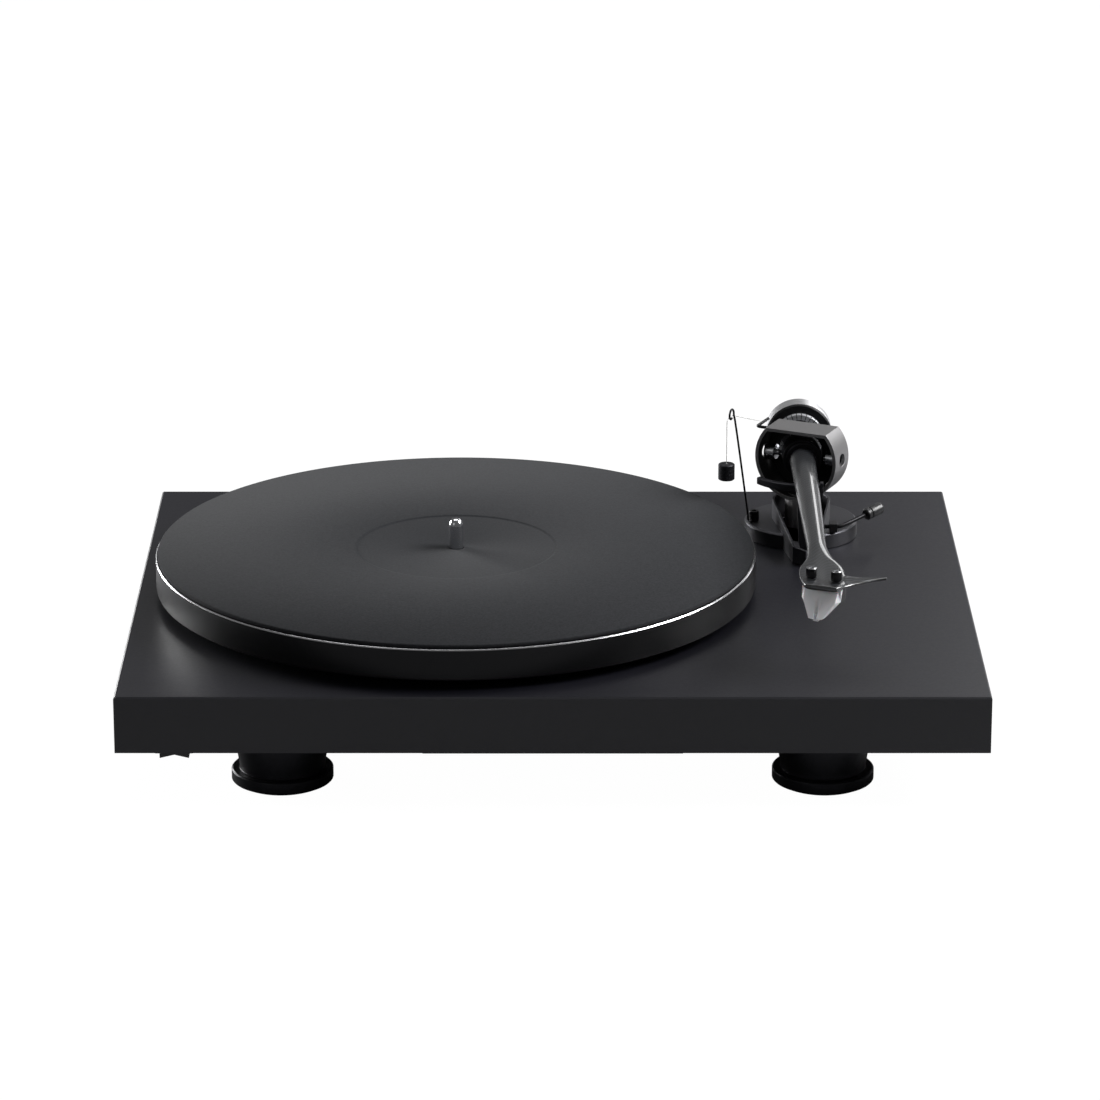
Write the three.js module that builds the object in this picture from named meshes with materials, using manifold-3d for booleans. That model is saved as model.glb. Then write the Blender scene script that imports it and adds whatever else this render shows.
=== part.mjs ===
// A belt-drive record player: plinth on three feet, felt-topped platter on a
// sub-platter and bearing, motor with pulley and belt, and a gimbal tonearm
// with counterweight, cueing lift and a thread-and-weight anti-skate.
//
// Millimetres, +Z up, front at -Y. The origin is on the floor, under the
// middle of the plinth.

import * as THREE from 'three';
import { mergeVertices } from 'three/addons/utils/BufferGeometryUtils.js';
import Module from 'manifold-3d';

const wasm = await Module();
wasm.setup();

// ---------------------------------------------------------------- dimensions

const clearance = 0.3;            // between pieces that touch or seat

// plinth and feet
const plinthWidth = 415;
const plinthDepth = 320;
const plinthThickness = 28;
const plinthChamfer = 0.8;
const footHeight = 27;
const footSideInset = 77.5;       // foot axis from the plinth's side edge
const footEndInset = 35;          // foot axis from the plinth's front or rear edge
const footBodyRadius = 22.3;
const footRingRadius = 24.5;
const footRingHeight = 6.2;
const footPadRadius = 22;
const footPadHeight = 2.2;
const footStudRadius = 3;
const footStudLength = 16;

// platter, sub-platter and bearing
const platterRadius = 150;
const platterMargin = 9.2;        // from the plinth's left edge
const platterLift = 4.5;          // underside above the plinth
const platterHeight = 15.7;
const platterWall = 12;
const platterTopThickness = 4;
const matInset = 1;               // mat's edge inside the platter's
const matRadius = platterRadius - matInset;
const matThickness = 1.9;
const labelRadius = 50;
const labelDepth = 0.6;
const dampingRingWidth = 5.5;
const subPlatterInset = 59;       // from the inside of the platter's wall
const subPlatterRadius = platterRadius - platterWall - subPlatterInset;
const subPlatterHeight = 9.5;
const subPlatterWeb = 3;
const subPlatterRim = 7;
const hubRadius = 14;
const spindleRadius = 3.6;
const spindleHeight = 14.6;       // above the mat
const shaftRadius = 5;
const bearingWallRadius = 11;
const bearingFlangeRadius = 18;
const bearingFlangeHeight = 2.5;
const bearingDepth = 42;          // below the plinth's top
const bearingFloor = 2.4;
const bushWall = 2.4;
const thrustBallRadius = 3;
const thrustPadHeight = 2.7;
const bearingNutRadius = 17;
const bearingNutHeight = 6;

// motor and belt
const motorInset = 28;            // motor's axis from the inside of the platter's wall
const motorDistance = platterRadius - platterWall - motorInset;
const motorBearing = 135;         // degrees round from +X
const motorRadius = 25;
const motorHeight = 22;
const motorBossRadius = 6;
const motorBossHeight = 4;
const suspensionWidth = 6.7;
const suspensionHeight = 7;
const motorCoverRim = 6;
const sheetThickness = 1.5;
const pulleyRadius = 9;
const pulleyFlange = 1;
const pulleyHeight = 8;
const motorShaftRadius = 1.5;
const motorWall = 5;              // can around the rotor, and below it
const rotorGap = 1;
const beltHeight = 4.5;
const beltThickness = 0.9;

// electronics and terminals
const boardWidth = 100;
const boardDepth = 50;
const boardThickness = 1.6;
const boardHeight = 4;            // above the plinth's underside
const pocketDepth = 16;
const pocketMargin = 6;
const boardFrontInset = 16;       // board's front edge from the plinth's front
const switchEdge = 27.9;          // switch's middle from the plinth's left edge
const switchInset = 8;            // switch's middle from the plinth's front
const switchLength = 18;
const switchWidth = 11;
const switchHeight = 12;
const switchBezel = 1.2;
const rockerLength = 14;
const rockerWidth = 7.6;
const rockerDrop = 4.2;           // rocker's ends below the plinth
const terminalX = 118;
const terminalWidth = 76;
const terminalDepth = 26;
const terminalHeight = 17;
const terminalWall = 2;
const terminalInset = 10;         // its rear face from the plinth's rear edge
const phonoPitch = 16;
const phonoRadius = 4.1;
const phonoFlangeRadius = 5.6;
const socketReach = 8;

// tonearm base
const armInset = 78.9;            // pivot from the plinth's right edge
const armDepth = 88.4;            // pivot behind the plinth's middle
const baseRadius = 29;
const baseHeight = 8.2;
const spigotRadius = 13;
const spigotDepth = 34;
const baseNutRadius = 18;
const baseNutHeight = 5;
const troughWall = 1.2;
const troughFloor = 5;
const troughBackRadius = 15;
const troughNoseWidth = 12.8;
const troughNoseReach = 49.9;     // shoulder of the nose, in front of the pivot
const troughTipReach = 55.2;
const noseHeight = 9.3;
const troughBackDrop = 0.3;       // below the pillar's top
const pillarRadius = 8.4;
const pillarDrop = 0.8;           // pillar's top below the drum
const pillarDepth = 30;
const axleRadius = 3;
const axleDepth = 18;
const armBearingRadius = 6.6;
const armBearingHeight = 5;

// tonearm
const tubeHeight = 42.4;          // tube axis above the plinth
const offsetAngle = 25;           // headshell and pivot axis, degrees
const drumRadius = 22.4;
const drumWall = 1.8;
const drumLength = 17.8;
const drumWeb = 1.4;              // closes the back, behind the gimbal
const webPlace = 7.9;
const webHoleRadius = 10.8;
const drumFlat = 15.1;            // flat top above the drum's axis
const accessRadius = 3.5;
const drumBossRadius = 7;
const tubeRearRadius = 6.8;
const tubeNeckRadius = 4.8;
const neckReach = 152;            // end of the round tube, from the pivot
const collarRadius = 8.5;
const gimbalRadius = 10;
const gimbalHalfLength = 6.4;
const collarReach = 9.5;
const tubeTail = 9;
const stubRadius = 4.2;
const stubEnd = 62;               // rear end of the counterweight stub
const pivotHolderRadius = 4.3;
const pivotPinRadius = 1.5;
const shellReach = 205.3;         // cartridge mounting point, from the pivot
const shellThickness = 3;
const shellTop = 1.6;             // headshell's top above the tube's axis
const boltSpacing = 12.8;
const thumbNutRadius = 2.6;
const thumbNutHeight = 5.3;
const tipForward = 9.5;           // stylus tip in front of the mounting point
const tipDrop = 16.2;             // stylus tip below the tube's axis
const weightRadius = 17.4;
const weightLength = 12;
const weightReach = 32.6;         // counterweight's front face behind the pivot
const dialInner = 9.5;
const dialOuter = 12.8;
const dialHeight = 2.2;

// cueing lift
const liftRadius = 26.1;          // lift bar's arc about the pivot
const liftBarWidth = 3;
const liftBarHeight = 3.8;
const liftBarTop = 35;
const liftStart = 211;            // degrees, ends of the bar's arc
const liftEnd = 291;
const liftRodAngle = 283.7;
const liftRodRadius = 1.2;
const liftGuideHeight = 22;
const leverRadius = 1.1;
const leverHeight = 11;
const gripRadius = 3.1;
const gripLength = 10.5;

// arm rest and anti-skate
const restReach = 50.2;
const restThickness = 3.5;
const restGap = 0.9;
const wireRadius = 0.55;
const antiskateWeightRadius = 4.25;
const antiskateWeightHeight = 8.4;
const threadRadius = 0.2;

// ------------------------------------------------------------ derived places

const plinthBottom = footHeight;
const plinthTop = plinthBottom + plinthThickness;
const platterX = -plinthWidth / 2 + platterMargin + platterRadius;
const platterBottom = plinthTop + platterLift;
const platterCeiling = platterBottom + platterHeight - platterTopThickness;
const platterTop = platterBottom + platterHeight;
const matBottom = platterTop + clearance;
const matTop = matBottom + matThickness;
const subPlatterTop = platterCeiling - clearance;
const subPlatterBottom = subPlatterTop - subPlatterHeight;
const pivotX = plinthWidth / 2 - armInset;
const pivotY = armDepth;
const tubeZ = plinthTop + tubeHeight;
const pillarHeight = tubeHeight - drumRadius - pillarDrop;
const troughBackHeight = pillarHeight - troughBackDrop;
const motorAngle = THREE.MathUtils.degToRad(motorBearing);
const motorX = platterX + motorDistance * Math.cos(motorAngle);
const motorY = motorDistance * Math.sin(motorAngle);
const beltMiddle = (subPlatterBottom + subPlatterTop) / 2;

// ------------------------------------------------------------------ materials

const finish = (color, roughness, metalness = 0) =>
  new THREE.MeshStandardMaterial({ color, roughness, metalness });

const satinBlack = finish('#1b1b1f', 0.45);
const blackMetal = finish('#2a2a2e', 0.4, 0.6);
const greyMetal = finish('#8d8b8a', 0.45, 0.7);
const blackSteel = finish('#26262a', 0.35, 0.8);
const steel = finish('#c4c4c6', 0.25, 1);
const zincSteel = finish('#a9abae', 0.4, 0.9);
const bronze = finish('#9c7440', 0.4, 0.9);
const brass = finish('#c9a24c', 0.35, 0.9);
const felt = finish('#3f4043', 0.95);
const rubber = finish('#19191a', 0.8);
const blackPlastic = finish('#141416', 0.5);
const carbon = finish('#3a3b3c', 0.2);
const silverPlastic = finish('#c9c7c8', 0.3);
const boardGreen = finish('#1f4a33', 0.6);
const nylon = finish('#d9d9d6', 0.3);

// -------------------------------------------------------------- shape helpers

// Welds a geometry's shared vertices, keeping only its positions.
function weld(geometry) {
  const bare = geometry.clone();
  for (const name of Object.keys(bare.attributes)) {
    if (name !== 'position') bare.deleteAttribute(name);
  }
  const merged = mergeVertices(bare, 1e-4);
  const corners = Array.from(merged.index.array);
  const kept = [];
  for (let i = 0; i < corners.length; i += 3) {
    const [a, b, c] = corners.slice(i, i + 3);
    if (a !== b && b !== c && c !== a) kept.push(a, b, c);
  }
  merged.setIndex(kept);
  return merged;
}

function toSolid(geometry) {
  const merged = weld(geometry);
  const mesh = new wasm.Mesh({
    numProp: 3,
    vertProperties: new Float32Array(merged.attributes.position.array),
    triVerts: new Uint32Array(merged.index.array),
  });
  return new wasm.Manifold(mesh);
}

function toGeometry(solid) {
  const mesh = solid.getMesh();
  const geometry = new THREE.BufferGeometry();
  geometry.setAttribute('position', new THREE.BufferAttribute(mesh.vertProperties, 3));
  geometry.setIndex(new THREE.BufferAttribute(mesh.triVerts, 1));
  geometry.computeVertexNormals();
  return geometry;
}

function cut(geometry, ...tools) {
  return toGeometry(tools.reduce((solid, tool) => solid.subtract(toSolid(tool)), toSolid(geometry)));
}

function join(geometry, ...others) {
  return toGeometry(others.reduce((solid, other) => solid.add(toSolid(other)), toSolid(geometry)));
}

// A solid turned about Z, from [radius, height] points listed anticlockwise.
function turned(profile, segments = 20) {
  const points = profile.map(([radius, height]) => new THREE.Vector2(radius, height));
  if (profile[0][0] > 0) points.push(points[0].clone());
  return weld(new THREE.LatheGeometry(points, segments)).rotateX(Math.PI / 2);
}

function disc(radius, bottom, top, x = 0, y = 0, segments = 16) {
  return new THREE.CylinderGeometry(radius, radius, top - bottom, segments)
    .rotateX(Math.PI / 2)
    .translate(x, y, (bottom + top) / 2);
}

function tube(inner, outer, bottom, top, segments = 20) {
  return turned([[inner, bottom], [outer, bottom], [outer, top], [inner, top]], segments);
}

function block(width, depth, height, x, y, bottom) {
  return new THREE.BoxGeometry(width, depth, height).translate(x, y, bottom + height / 2);
}

// A rod along X between two places.
function crossRod(radius, from, to, y, z, segments = 12) {
  return new THREE.CylinderGeometry(radius, radius, to - from, segments)
    .rotateZ(Math.PI / 2)
    .translate((from + to) / 2, y, z);
}

function outline(points) {
  return new THREE.Shape(points.map(([x, y]) => new THREE.Vector2(x, y)));
}

function extrude(shape, height, bottom = 0, curveSegments = 24) {
  return new THREE.ExtrudeGeometry(shape, { depth: height, bevelEnabled: false, curveSegments })
    .translate(0, 0, bottom);
}

// A round rod that follows a curve.
function rod(curve, radius, steps, sides = 10) {
  const section = new THREE.Shape();
  for (let side = 0; side <= sides; side += 1) {
    const angle = (side / sides) * 2 * Math.PI;
    const point = [radius * Math.cos(angle), radius * Math.sin(angle)];
    if (side === 0) section.moveTo(...point);
    else section.lineTo(...point);
  }
  return new THREE.ExtrudeGeometry(section, { steps, extrudePath: curve, bevelEnabled: false });
}

function curveThrough(points, tension = 0.5) {
  const places = points.map((point) => new THREE.Vector3(...point));
  return new THREE.CatmullRomCurve3(places, false, 'catmullrom', tension);
}

// A skin through rings of equal count, closed at both ends.
function loft(rings) {
  const count = rings[0].length;
  const corners = rings.flat();
  const first = rings[0].reduce((sum, p) => sum.add(p), new THREE.Vector3()).divideScalar(count);
  const last = rings.at(-1).reduce((sum, p) => sum.add(p), new THREE.Vector3()).divideScalar(count);
  const vertices = [...corners, first, last].flatMap((p) => [p.x, p.y, p.z]);
  const index = [];
  for (let ring = 0; ring < rings.length - 1; ring += 1) {
    for (let i = 0; i < count; i += 1) {
      const a = ring * count + i;
      const b = ring * count + ((i + 1) % count);
      index.push(a, b, b + count, a, b + count, a + count);
    }
  }
  const end = (rings.length - 1) * count;
  for (let i = 0; i < count; i += 1) {
    const next = (i + 1) % count;
    index.push(corners.length, next, i);
    index.push(corners.length + 1, end + i, end + next);
  }
  const geometry = new THREE.BufferGeometry();
  geometry.setAttribute('position', new THREE.Float32BufferAttribute(vertices, 3));
  geometry.setIndex(index);
  return geometry;
}

function piece(name, geometry, material, place = [0, 0, 0]) {
  const mesh = new THREE.Mesh(geometry, material);
  mesh.name = name;
  mesh.position.set(...place);
  return mesh;
}

const turntable = new THREE.Group();

// --------------------------------------------------------------------- plinth

const feet = [
  ['front_left', -plinthWidth / 2 + footSideInset, -plinthDepth / 2 + footEndInset],
  ['front_right', plinthWidth / 2 - footSideInset, -plinthDepth / 2 + footEndInset],
  ['rear', 0, plinthDepth / 2 - footEndInset],
];
const boardY = -plinthDepth / 2 + boardFrontInset + boardDepth / 2;
const switchX = -plinthWidth / 2 + switchEdge;
const switchY = -plinthDepth / 2 + switchInset;
const terminalY = plinthDepth / 2 - terminalInset - terminalDepth / 2;
const motorHoleRadius = motorRadius + clearance + suspensionWidth + clearance;

// The board: an underside pocket for the electronics, and holes for the
// bearing, the motor, the arm's spigot, the switch and the feet's studs.
function plinthGeometry() {
  const chamferedEdge = (z, inset) => {
    const [w, d] = [plinthWidth / 2 - inset, plinthDepth / 2 - inset];
    return [[-w, -d], [w, -d], [w, d], [-w, d]].map(([x, y]) => new THREE.Vector3(x, y, z));
  };
  const board = loft([
    chamferedEdge(plinthBottom, 0),
    chamferedEdge(plinthTop - plinthChamfer, 0),
    chamferedEdge(plinthTop, plinthChamfer),
  ]);
  const below = plinthBottom - 1;
  const above = plinthTop + 1;
  return cut(
    board,
    disc(bearingWallRadius + clearance, below, above, platterX, 0),
    disc(motorHoleRadius, below, above, motorX, motorY, 20),
    disc(spigotRadius + clearance, below, above, pivotX, pivotY),
    block(
      boardWidth + 2 * pocketMargin, boardDepth + 2 * pocketMargin, pocketDepth + 1,
      0, boardY, below,
    ),
    block(
      switchLength + 2 * clearance, switchWidth + 2 * clearance, switchHeight + 1 + clearance,
      switchX, switchY, below,
    ),
    ...feet.map(([, x, y]) => disc(
      footStudRadius + clearance, below, plinthBottom + footStudLength + clearance, x, y, 20,
    )),
  );
}
turntable.add(piece('plinth', plinthGeometry(), satinBlack));

// ----------------------------------------------------------------------- feet

// Each foot is a turned housing with a flared ring and a stud that screws up
// into the plinth, and a rubber pad let into its underside.
function footHousing() {
  const top = plinthBottom - clearance;
  const seat = footPadHeight - 0.8;
  const ringTop = seat + footRingHeight;
  return turned([
    [0, footPadHeight + clearance],
    [footPadRadius + clearance, footPadHeight + clearance],
    [footPadRadius + clearance, seat],
    [footRingRadius - 0.6, seat],
    [footRingRadius, seat + 0.6],
    [footRingRadius, ringTop - 0.6],
    [footRingRadius - 0.6, ringTop],
    [footBodyRadius - 1.7, ringTop],
    [footBodyRadius, top - 7],
    [footBodyRadius, top],
    [footStudRadius, top],
    [footStudRadius, plinthBottom + footStudLength],
    [0, plinthBottom + footStudLength],
  ]);
}

for (const [side, x, y] of feet) {
  turntable.add(piece(`foot_${side}`, footHousing(), blackMetal, [x, y, 0]));
  turntable.add(piece(
    `foot_pad_${side}`, disc(footPadRadius, 0, footPadHeight, 0, 0, 20), rubber, [x, y, 0],
  ));
}

// -------------------------------------------------------------------- bearing

const bearingBore = shaftRadius + clearance + bushWall + clearance;
const bearingBottom = plinthTop - bearingDepth;
const thrustPadBottom = bearingBottom + bearingFloor + clearance;
const ballMiddle = thrustPadBottom + thrustPadHeight + clearance + thrustBallRadius;
const shaftBottom = ballMiddle + thrustBallRadius + clearance;
const bushTop = plinthTop + clearance + bearingFlangeHeight;

function bearingHousing() {
  const flangeBottom = plinthTop + clearance;
  return turned([
    [0, bearingBottom],
    [bearingWallRadius, bearingBottom],
    [bearingWallRadius, flangeBottom],
    [bearingFlangeRadius, flangeBottom],
    [bearingFlangeRadius, flangeBottom + bearingFlangeHeight],
    [bearingBore, flangeBottom + bearingFlangeHeight],
    [bearingBore, bearingBottom + bearingFloor],
    [0, bearingBottom + bearingFloor],
  ]);
}

// A hexagonal ring nut, clamped up against the underside of the plinth.
function ringNut(outer, inner, height, sides = 6) {
  const shape = new THREE.Shape();
  for (let side = 0; side < sides; side += 1) {
    const angle = (side / sides) * 2 * Math.PI;
    const corner = [outer * Math.cos(angle), outer * Math.sin(angle)];
    if (side === 0) shape.moveTo(...corner);
    else shape.lineTo(...corner);
  }
  shape.closePath();
  const hole = new THREE.Path().absarc(0, 0, inner, 0, 2 * Math.PI, true);
  shape.holes.push(hole);
  return extrude(shape, height, plinthBottom - clearance - height, 12);
}

const bearingPlace = [platterX, 0, 0];
turntable.add(piece('bearing_housing', bearingHousing(), brass, bearingPlace));
turntable.add(piece(
  'bearing_bush',
  tube(shaftRadius + clearance, shaftRadius + clearance + bushWall, shaftBottom, bushTop, 20),
  bronze, bearingPlace,
));
turntable.add(piece(
  'bearing_thrust_pad',
  disc(bearingBore - clearance, thrustPadBottom, thrustPadBottom + thrustPadHeight, 0, 0, 24),
  blackPlastic, bearingPlace,
));
turntable.add(piece(
  'bearing_thrust_ball', new THREE.SphereGeometry(thrustBallRadius, 12, 8), steel,
  [platterX, 0, ballMiddle],
));
turntable.add(piece(
  'bearing_nut', ringNut(bearingNutRadius, bearingWallRadius + clearance, bearingNutHeight),
  zincSteel, bearingPlace,
));

// -------------------------------------------------------------------- platter

function spindleGeometry() {
  const shoulder = subPlatterBottom - clearance;
  const top = matTop + spindleHeight;
  return turned([
    [0, shaftBottom],
    [shaftRadius, shaftBottom],
    [shaftRadius, shoulder],
    [spindleRadius, shoulder],
    [spindleRadius, top - 3.4],
    [spindleRadius * 0.9, top - 1.8],
    [spindleRadius * 0.6, top - 0.5],
    [spindleRadius * 0.3, top],
    [0, top],
  ], 20);
}

function subPlatterGeometry() {
  const bore = spindleRadius + clearance;
  const webBottom = subPlatterTop - subPlatterWeb;
  return turned([
    [bore, subPlatterBottom],
    [hubRadius, subPlatterBottom],
    [hubRadius, webBottom],
    [subPlatterRadius - subPlatterRim, webBottom],
    [subPlatterRadius - subPlatterRim, subPlatterBottom],
    [subPlatterRadius, subPlatterBottom],
    [subPlatterRadius, subPlatterTop],
    [bore, subPlatterTop],
  ], 36);
}

// The platter is a turned dish, hollow below, with a bright bevel at its rim.
function platterGeometry() {
  const bore = spindleRadius + clearance;
  const wall = platterRadius - platterWall;
  return turned([
    [bore, platterCeiling],
    [wall, platterCeiling],
    [wall, platterBottom],
    [platterRadius - 0.7, platterBottom],
    [platterRadius, platterBottom + 0.7],
    [platterRadius, platterTop - 0.7],
    [platterRadius - 0.7, platterTop],
    [bore, platterTop],
  ], 48);
}

function matGeometry() {
  const bore = spindleRadius + clearance;
  return turned([
    [bore, matBottom],
    [matRadius, matBottom],
    [matRadius, matTop],
    [labelRadius + labelDepth, matTop],
    [labelRadius, matTop - labelDepth],
    [bore, matTop - labelDepth],
  ], 48);
}

const dampingOuter = platterRadius - platterWall - clearance;
turntable.add(piece('spindle', spindleGeometry(), steel, bearingPlace));
turntable.add(piece('sub_platter', subPlatterGeometry(), blackPlastic, bearingPlace));
turntable.add(piece('platter', platterGeometry(), blackMetal, bearingPlace));
turntable.add(piece(
  'platter_damping_ring',
  tube(dampingOuter - dampingRingWidth, dampingOuter, platterBottom + 3, platterCeiling - clearance, 32),
  rubber, bearingPlace,
));
turntable.add(piece('platter_mat', matGeometry(), felt, bearingPlace));

// ------------------------------------------------------------- motor and belt

const motorPlace = [motorX, motorY, 0];
const pulleyBottom = beltMiddle - pulleyHeight / 2;
const bossTop = plinthTop + motorBossHeight;
const motorBottom = plinthTop - motorHeight;
const rotorRadius = motorRadius - motorWall - rotorGap;
const rotorBottom = motorBottom + motorWall + rotorGap;
const rotorTop = plinthTop - motorWall - rotorGap;

function motorCan() {
  const bore = motorShaftRadius + clearance;
  const hollow = rotorRadius + rotorGap;
  return turned([
    [0, motorBottom],
    [motorRadius, motorBottom],
    [motorRadius, plinthTop],
    [motorBossRadius, plinthTop],
    [motorBossRadius, bossTop],
    [bore, bossTop],
    [bore, rotorTop + rotorGap],
    [hollow, rotorTop + rotorGap],
    [hollow, rotorBottom - rotorGap],
    [0, rotorBottom - rotorGap],
  ]);
}

// The pulley is pressed on the motor's shaft, with the rotor at its lower end.
function pulleyGeometry() {
  const top = pulleyBottom + pulleyHeight;
  const flangeRadius = pulleyRadius + pulleyFlange;
  return turned([
    [0, rotorBottom],
    [rotorRadius, rotorBottom],
    [rotorRadius, rotorTop],
    [motorShaftRadius, rotorTop],
    [motorShaftRadius, pulleyBottom],
    [flangeRadius, pulleyBottom],
    [flangeRadius, pulleyBottom + 1.2],
    [pulleyRadius, pulleyBottom + 1.2],
    [pulleyRadius, top - 1.2],
    [flangeRadius, top - 1.2],
    [flangeRadius, top],
    [0, top],
  ], 20);
}

// The outline of a loop round the sub-platter and pulley, that far out from
// both; the pulley lies along +X.
function loopOutline(distance, Kind) {
  const lean = Math.acos((subPlatterRadius - pulleyRadius) / motorDistance);
  const loop = new Kind();
  loop.absarc(0, 0, subPlatterRadius + distance, lean, 2 * Math.PI - lean, false);
  loop.absarc(motorDistance, 0, pulleyRadius + distance, -lean, lean, false);
  loop.closePath();
  return loop;
}

function beltGeometry() {
  const band = loopOutline(clearance + beltThickness, THREE.Shape);
  band.holes.push(loopOutline(clearance, THREE.Path));
  return extrude(band, beltHeight, beltMiddle - beltHeight / 2, 18).rotateZ(motorAngle);
}

turntable.add(piece('motor_can', motorCan(), zincSteel, motorPlace));
turntable.add(piece(
  'motor_suspension',
  tube(
    motorRadius + clearance, motorHoleRadius - clearance,
    motorBottom + 4, motorBottom + 4 + suspensionHeight,
  ),
  rubber, motorPlace,
));
turntable.add(piece(
  'motor_cover',
  disc(
    motorHoleRadius + motorCoverRim, plinthBottom - clearance - sheetThickness,
    plinthBottom - clearance, 0, 0, 20,
  ),
  blackMetal, motorPlace,
));
turntable.add(piece('motor_pulley', pulleyGeometry(), brass, motorPlace));
turntable.add(piece('drive_belt', beltGeometry(), rubber, bearingPlace));

// ------------------------------------------------------ electronics, terminals

function controlBoard() {
  const bottom = plinthBottom + boardHeight;
  const top = bottom + boardThickness;
  return join(
    block(boardWidth, boardDepth, boardThickness, 0, boardY, bottom),
    block(14, 12, 8, -boardWidth * 0.3, boardY, top - 0.2),
    block(9, 9, 3, 0, boardY + 8, top - 0.2),
    disc(5, top - 0.2, top + 9, boardWidth * 0.3, boardY, 16),
  );
}

turntable.add(piece('control_board', controlBoard(), boardGreen));
// The pocket's cover carries the two posts that the board rests on.
function boardCover() {
  const top = plinthBottom - clearance;
  const postTop = plinthBottom + boardHeight - clearance;
  return join(
    block(
      boardWidth + 4 * pocketMargin, boardDepth + 4 * pocketMargin, sheetThickness,
      0, boardY, top - sheetThickness,
    ),
    ...[-1, 1].map((side) => disc(2.5, top - 0.5, postTop, side * boardWidth * 0.42, boardY, 12)),
  );
}

turntable.add(piece('board_cover', boardCover(), blackMetal));

// The speed switch: a bezel let into the plinth and a see-saw rocker in it.
const switchBottom = plinthBottom - switchBezel;
const rockerTop = plinthBottom + 2.2;

function switchHousing() {
  const well = rockerLength + 1.6;
  return cut(
    block(switchLength, switchWidth, switchHeight + switchBezel, switchX, switchY, switchBottom),
    block(
      well, rockerWidth + 2 * clearance, rockerTop + 2 - switchBottom + 1,
      switchX, switchY, switchBottom - 1,
    ),
  );
}

function rockerGeometry() {
  const half = rockerLength / 2;
  const shape = outline([
    [-half, -rockerDrop],
    [0, -rockerDrop + 1.7],
    [half, -rockerDrop],
    [half, 0.2],
    [half - 1.5, rockerTop - plinthBottom],
    [-half + 1.5, rockerTop - plinthBottom],
    [-half, 0.2],
  ]);
  return extrude(shape, rockerWidth, -rockerWidth / 2).rotateX(Math.PI / 2);
}

turntable.add(piece('speed_switch_housing', switchHousing(), blackPlastic));
turntable.add(piece(
  'speed_rocker', rockerGeometry(), blackPlastic, [switchX, switchY, plinthBottom],
));

// The terminal box hangs under the rear edge, open to the plinth above it.
const terminalTop = plinthBottom - clearance;
const terminalBottom = terminalTop - terminalHeight;
const terminalRear = terminalY + terminalDepth / 2;
const terminalMiddle = (terminalTop + terminalBottom) / 2;
const terminals = {
  power_socket: terminalX + 1.75 * phonoPitch,
  phono_socket_right: terminalX + 0.5 * phonoPitch,
  phono_socket_left: terminalX - 0.5 * phonoPitch,
  ground_terminal: terminalX - 1.6 * phonoPitch,
};

// A rod along Y, from the terminal box's rear face.
function rearRod(radius, from, to, segments = 12) {
  return new THREE.CylinderGeometry(radius, radius, to - from, segments)
    .translate(0, (from + to) / 2, 0);
}

function terminalBox() {
  const hollow = block(
    terminalWidth - 2 * terminalWall, terminalDepth - 2 * terminalWall, terminalHeight,
    terminalX, terminalY, terminalBottom + terminalWall,
  );
  const holes = Object.values(terminals).map((x) => (
    rearRod(phonoRadius + clearance, -terminalWall - 1, 1).translate(x, terminalRear, terminalMiddle)
  ));
  return cut(
    block(terminalWidth, terminalDepth, terminalHeight, terminalX, terminalY, terminalBottom),
    hollow, ...holes,
  );
}

function phonoSocket() {
  return cut(
    join(
      rearRod(phonoRadius, -terminalWall - 2, socketReach),
      rearRod(phonoFlangeRadius, clearance, 1.8),
    ),
    rearRod(1.7, 1, socketReach + 1, 12),
  );
}

function powerSocket() {
  return join(
    cut(
      join(
        rearRod(phonoRadius, -terminalWall - 2, 4),
        rearRod(phonoFlangeRadius, clearance, 4),
      ),
      rearRod(3, -3, 5),
    ),
    rearRod(1, -3.5, 3, 10),
  );
}

function groundTerminal() {
  return join(
    rearRod(1.9, -terminalWall - 2, 6.5, 16),
    rearRod(phonoFlangeRadius, clearance, 1.4, 12),
    rearRod(3.9, 2.2, 5.6, 12),
  );
}

const terminalShapes = {
  power_socket: [powerSocket(), blackPlastic],
  phono_socket_right: [phonoSocket(), brass],
  phono_socket_left: [phonoSocket(), brass],
  ground_terminal: [groundTerminal(), brass],
};
turntable.add(piece('terminal_box', terminalBox(), blackPlastic));
for (const [name, [geometry, material]] of Object.entries(terminalShapes)) {
  turntable.add(piece(name, geometry, material, [terminals[name], terminalRear, terminalMiddle]));
}

// --------------------------------------------------------------- tonearm base

// The arm's own places are measured from its pivot: x across, y back.
const armBase = new THREE.Group();
armBase.position.set(pivotX, pivotY, plinthTop);
turntable.add(armBase);

// The trough's plan, inset by its wall where asked.
function troughPlan(inset) {
  const back = troughBackRadius - inset;
  const shoulder = troughNoseWidth / 2 - inset;
  const plan = new THREE.Shape();
  plan.moveTo(0, -troughTipReach + inset * 1.4);
  plan.lineTo(shoulder, -troughNoseReach + inset * 0.4);
  plan.lineTo(back, 0);
  plan.absarc(0, 0, back, 0, Math.PI, false);
  plan.lineTo(-shoulder, -troughNoseReach + inset * 0.4);
  plan.closePath();
  return plan;
}

const shaftY = -22.4;             // cueing axle, in front of the pivot
const wireFoot = [-27.3, -2.6];
const knobFoot = [-24.4, -5.6];
const liftAngle = THREE.MathUtils.degToRad(liftRodAngle);
const liftX = liftRadius * Math.cos(liftAngle);
const liftY = liftRadius * Math.sin(liftAngle);

const liftRodBottom = leverHeight + leverRadius + 0.5;

// The lift's guide stands on the trough's floor, over the cueing axle.
function liftGuideGeometry() {
  return join(
    block(5.6, 8, leverHeight + 3 - troughFloor + 0.5, liftX, liftY, troughFloor - 0.5),
    disc(2.5, leverHeight + 2, troughFloor + liftGuideHeight, liftX, liftY, 20),
  );
}

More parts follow.
